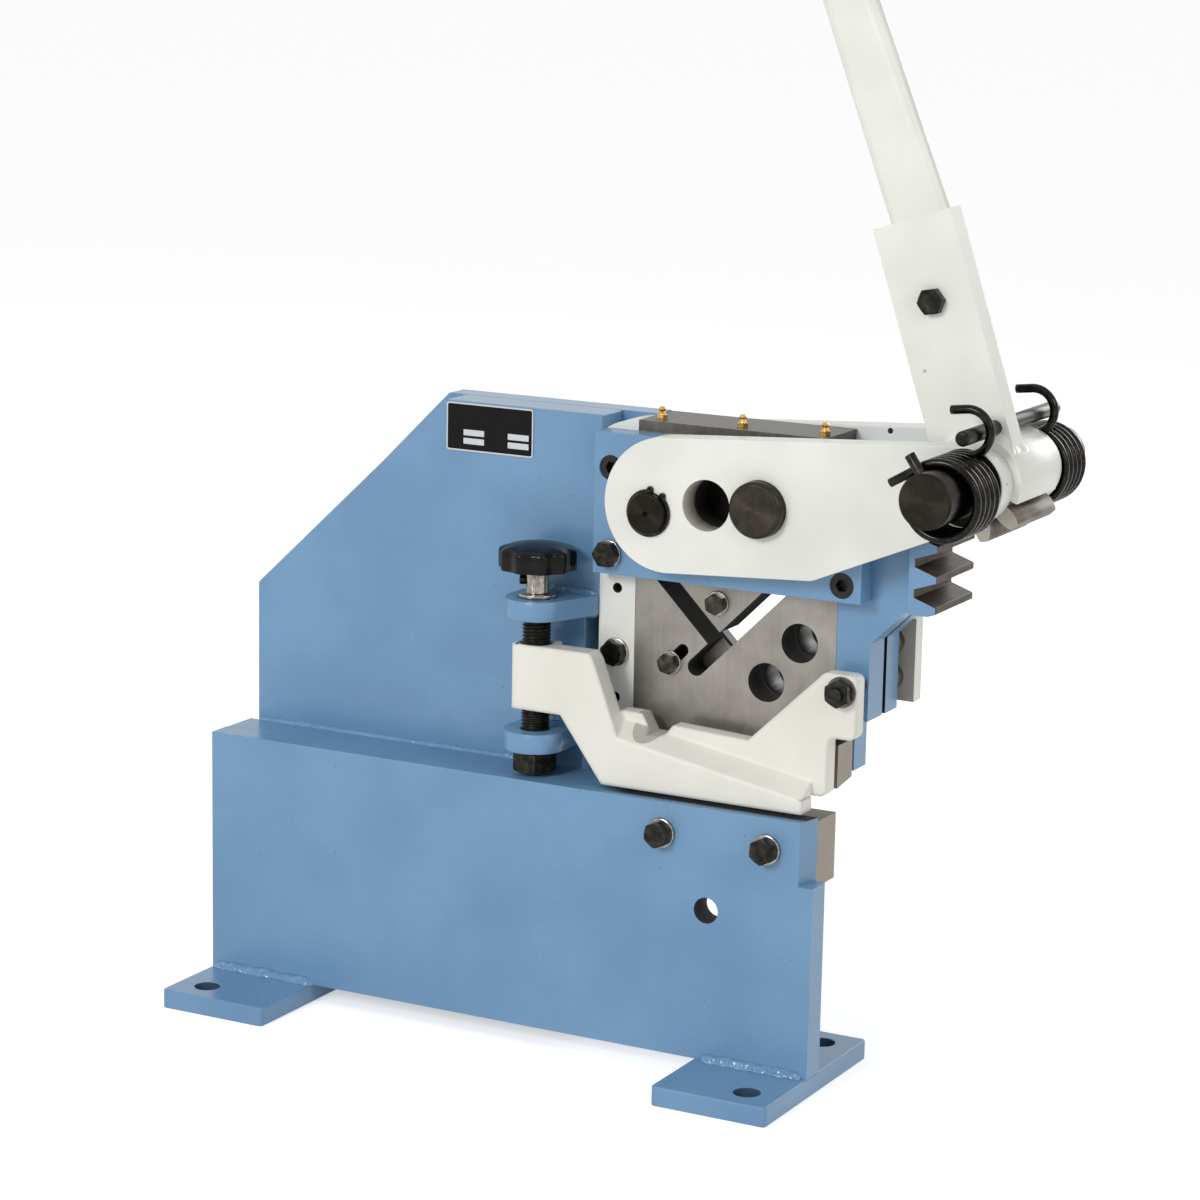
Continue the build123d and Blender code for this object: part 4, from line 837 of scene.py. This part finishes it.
# Hub, lever plate and handle tube: a bored boss, flat bar welded on it and a tube pressed flat at its end.
# All three are white. The lever's weld is a broad fillet that runs round its foot, painted over.
weld_white = enamel("white_enamel_on_weld", "#DEDED6", "#EBEBE4", "#6E675C", 14.0, 6.0, 0.18)
dress(["hub"], white_enamel, 1.0)
dress(["lever_plate"], white_enamel, 1.3)
dress(["handle_tube"], white_enamel, 0.6)
hub_radius = 31.0
lever_front = 22.5
lever_back = 40.5
lever_half = 28.0
lever_lean = math.radians(18.5)
lever_up = Vector((-math.sin(lever_lean), 0, math.cos(lever_lean)))
lever_across = Vector((math.cos(lever_lean), 0, math.sin(lever_lean)))
corners = [(lever_half, lever_front), (lever_half, lever_back),
           (-lever_half, lever_back), (-lever_half, lever_front)]
# Stations round the foot: across the lever, back from the front, and the way that the weld faces there.
stations = []
for k, (s, y) in enumerate(corners):
    next_s, next_y = corners[(k + 1) % 4]
    for i in range(9):
        stations.append((s, y, math.radians(90 * k - 90 + 11.25 * i)))
    steps = round(abs(next_s - s) + abs(next_y - y))
    for i in range(1, steps):
        stations.append((s + (next_s - s) * i / steps, y + (next_y - y) * i / steps, math.radians(90 * k)))
weld_rise = 8.0
face_toe = 7.2
edge_toe = 2.5
weld_sink = 0.3
weld_lump = 0.7
weld_root = 2.0
lump_mm = 5.0
rows = 10
shaft = Vector((shaft_x, 0, shaft_z))
points = []
for s, y, way in stations:
    out_s = math.cos(way)
    out_y = math.sin(way)
    seat = math.sqrt(hub_radius ** 2 - s ** 2)
    toe = s + edge_toe * out_s
    high = Vector((s - weld_sink * out_s, y - weld_sink * out_y, seat + weld_rise))
    low = Vector((toe, y + face_toe * out_y, math.sqrt(hub_radius ** 2 - toe ** 2) - weld_sink))
    bend = Vector((s, y, seat))
    fill = (high + low - bend * 2).normalized()
    section = []
    for j in range(rows):
        t = j / (rows - 1)
        skin = high * (1 - t) ** 2 + bend * 2 * t * (1 - t) + low * t ** 2
        section.append(skin + fill * weld_lump * noise.noise(skin / lump_mm) * math.sin(math.pi * t))
    section.append(bend - fill * weld_root)
    for p in section:
        points.append((shaft + lever_across * p.x + lever_up * p.z + Vector((0, p.y, 0))) / 1000)
weld_faces = ring_faces(len(stations), rows + 1, loop=True)
lever_weld = build_piece("weld_lever_foot", points, weld_faces, weld_white)
smooth_skin(lever_weld)
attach(lever_weld, "handle")

# Plug in the handle's end: moulded polyethylene, pushed into the tube.
# The eye gets a matt black with a fine moulded grain, drawn coarser than the real one so that it shows.
black_poly, tree = new_finish("moulded_polyethylene")
where = add(tree, "TexCoord").outputs["Object"]
grain_mm = 1.2
grain = add(tree, "TexNoise", {"Vector": where, "Scale": 1000 / grain_mm, "Detail": 2.0})
relief = add(tree, "Bump", {"Height": grain.outputs["Fac"], "Strength": 0.2, "Distance": 0.0002})
tone = add(tree, "Mix", {0: grain.outputs["Fac"], 6: linear("#1A1A1A"), 7: linear("#262626")},
           data_type="RGBA")
poly = add(tree, "BsdfPrincipled", {
    "Base Color": tone.outputs[2], "Roughness": 0.5, "IOR": 1.5, "Normal": relief.outputs["Normal"]})
add(tree, "OutputMaterial", {"Surface": poly.outputs[0]})
dress(["tube_plug"], black_poly, 0.5)


# Torsion springs: six-millimetre oil-hardened wire, wound round the shaft's ends.
# The front end is a short leg behind the cross pin, the rear end an open hook round the anchor rod.
# The eye gets a black that shines along every turn.
def wire_tube(name, line, radius, sides, finish):
    """Round wire along a smooth line of points in metres, closed at both ends."""
    count = len(line)
    ahead = [(line[min(i + 1, count - 1)] - line[max(i - 1, 0)]).normalized() for i in range(count)]
    side = ahead[0].orthogonal().normalized()
    points = []
    for i in range(count):
        side = (side - ahead[i] * side.dot(ahead[i])).normalized()
        other = ahead[i].cross(side)
        for j in range(sides):
            angle = 2 * math.pi * j / sides
            points.append(line[i] + (side * math.cos(angle) + other * math.sin(angle)) * radius)
    tube = build_piece(name, points, ring_faces(count, sides, ends=True), finish)
    tube.data.shade_smooth()
    return tube


wire = 6.0
coil_radius = 24.8
coil_pitch = 7.6
coil_turns = 5
leg_angle = 125.0
leg_length = 22.0
hook_radius = 14.8
hook_end = 100.0
hook_tail = 10.0
anchor_x = 8.0
anchor_z = 35.5
hook_lead = 5.3
hook_way = coil_radius + hook_radius
coil_end = math.degrees(math.atan2(anchor_z + coil_hang, anchor_x) + math.asin(hook_lead / hook_way))
coil_sweep = coil_turns + (leg_angle - coil_end) / 360
hook_sweep = hook_end + 180 - coil_end
coil_back = -8.0
coil_front = coil_back - coil_pitch * coil_sweep
spring_steel = blackened("oil_hardened_wire", "#171512", "#34302A", 0.12, 0.24, 0.8)


def round_coil(radius, degrees, y):
    """Point about the coil's axis, which hangs a little below the shaft's."""
    angle = math.radians(degrees)
    return Vector((shaft_x + radius * math.cos(angle), y, shaft_z - coil_hang + radius * math.sin(angle)))


coil_steps = round(44 * coil_sweep)
leg_steps = 6
hook_steps = 30
tail_steps = 4
coil_line = []
for i in range(coil_steps + 1):
    wound = coil_sweep * i / coil_steps
    coil_line.append(round_coil(coil_radius, leg_angle - 360 * wound, coil_front + coil_pitch * wound))
leg_way = (coil_line[0] - coil_line[1]).normalized()
leg_line = [coil_line[0] + leg_way * leg_length * (1 - i / leg_steps) for i in range(leg_steps)]
hook_middle = round_coil(hook_way, coil_end, coil_back)
hook_line = []
for i in range(1, hook_steps + 1):
    angle = math.radians(coil_end + 180 + hook_sweep * i / hook_steps)
    hook_line.append(hook_middle + Vector((math.cos(angle), 0, math.sin(angle))) * hook_radius)
tail_way = (hook_line[-1] - hook_line[-2]).normalized()
tail_line = [hook_line[-1] + tail_way * hook_tail * i / tail_steps for i in range(1, tail_steps + 1)]
spring_line = leg_line + coil_line + hook_line + tail_line
mirror_y = 96.0
for name, node, rear in (
    ("front_torsion_spring", "front_spring", False),
    ("rear_torsion_spring", "rear_spring", True),
):
    line = [Vector((p.x, mirror_y - p.y if rear else p.y, p.z)) / 1000 for p in spring_line]
    spring = wire_tube(name, line, wire / 2000, 12, spring_steel)
    front = (mirror_y - coil_front if rear else coil_front) / 1000
    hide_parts(node)
    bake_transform(spring)

# Hold-down: one iron casting, fettled and painted a warmer white, with soft edges all round.
# The round notch in its top was milled after painting, so its wall is bare iron.
notch = ("Y", 104.0, 238.0, 11.0)
hold_white = {**white, "low": "#E2E0D6", "high": "#EAE8DF"}
hold_enamel = enamel("white_enamel_milled_hold_down", **hold_white, bores=[notch], wall="#B5B1A8",
                     soft_mm=4.5)
dress(["hold_down"], hold_enamel, 2.4, 3)

# Spindle: a length of black M20 thread that turns in the two eyes.
# The thread is cut as a helix, so its ridges catch the light in slanting lines.
thread_outer = 9.95
thread_root = 8.5
thread_pitch = 2.5
spindle_low = 192.7
spindle_high = 316.6
sides = 40
rows = round((spindle_high - spindle_low) / (thread_pitch / 6))
points = []
for k in range(rows + 1):
    z = spindle_low + (spindle_high - spindle_low) * k / rows
    for i in range(sides):
        angle = 2 * math.pi * i / sides
        place = (z / thread_pitch - i / sides) % 1.0
        ridge = min(1.0, max(0.0, (abs(2 * place - 1) - 0.12) / 0.7))
        radius = thread_root + (thread_outer - thread_root) * ridge
        radius = min(radius, thread_root + (z - spindle_low), thread_root + (spindle_high - z))
        x = spindle_x + radius * math.cos(angle)
        y = spindle_y + radius * math.sin(angle)
        points.append(Vector((x, y, z)) / 1000)
spindle = build_piece("spindle_thread", points, ring_faces(rows + 1, sides, ends=True), black_oxide)
spindle.data.shade_smooth()
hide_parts("spindle")
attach(spindle, "spindle")

# Grub screw in the collar: a small black screw with a socket, turned in from the side.
# It pins the knob to the spindle.
grub_section = [(0.0, 2.6), (1.5, 2.6), (1.5, 4.2), (2.9, 4.2), (3.2, 3.8), (3.2, -1.5), (0.0, -1.5)]
grub_middle = (spindle_x - 7.4, spindle_y - 2.8, 328.0)
grub_way = (-0.93, -0.36, 0.0)
grub = build_piece("collar_grub_screw", *turned(grub_section, grub_middle, grub_way, 18), black_oxide)
smooth_skin(grub)
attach(grub, "spindle")

# Star knob: moulded phenolic with ten shallow finger flutes and a domed top, seated on its plated collar.
# The eye gets a glossy black with long soft highlights on the rim.
phenolic, tree = new_finish("moulded_phenolic")
where = add(tree, "TexCoord").outputs["Object"]
flow_mm = 11.0
flow = add(tree, "TexNoise", {"Vector": where, "Scale": 1000 / flow_mm, "Detail": 4.0})
tone = add(tree, "Mix", {0: flow.outputs["Fac"], 6: linear("#0B0B0A"), 7: linear("#151513")},
           data_type="RGBA")
rough = add(tree, "MapRange", {"Value": flow.outputs["Fac"], "To Min": 0.1, "To Max": 0.2})
plastic = add(tree, "BsdfPrincipled", {
    "Base Color": tone.outputs[2], "Roughness": rough.outputs["Result"], "Specular IOR Level": 0.15})
add(tree, "OutputMaterial", {"Surface": plastic.outputs[0]})
knob_radius = 27.5
knob_low = 336.0
knob_height = 19.2
knob_dome = 5.8
flutes = 10
flute_depth = 2.3
wall_top = knob_height - knob_dome
# The profile is a share of the radius and a height, up the rounded wall and then over the dome.
profile = [(0.2, 0.0), (0.9, 0.0), (0.965, 0.25), (0.99, 0.9), (1.0, 2.0), (1.0, wall_top * 0.5),
           (1.0, wall_top - 1.6), (0.992, wall_top - 0.4), (0.972, wall_top + 0.5), (0.94, wall_top + 1.1)]
for share in (0.88, 0.8, 0.7, 0.58, 0.45, 0.3, 0.15, 0.02):
    profile.append((share, knob_height - (knob_dome - 1.6) * (share / 0.94) ** 2 - 0.2 * share))
sides = 160
points = []
for share, height in profile:
    fade = min(1.0, max(0.0, (share - 0.55) / 0.4)) if height > wall_top else 1.0
    for i in range(sides):
        angle = 2 * math.pi * i / sides
        flute = flute_depth * fade * (0.5 + 0.5 * math.cos(flutes * angle)) ** 0.8
        radius = share * (knob_radius - flute)
        x = spindle_x + radius * math.cos(angle)
        y = spindle_y + radius * math.sin(angle)
        points.append(Vector((x, y, knob_low + height)) / 1000)
knob = build_piece("knob_grip", points, ring_faces(len(profile), sides, ends=True), phenolic)
knob.data.shade_smooth()
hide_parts("star_knob")
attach(knob, "spindle")
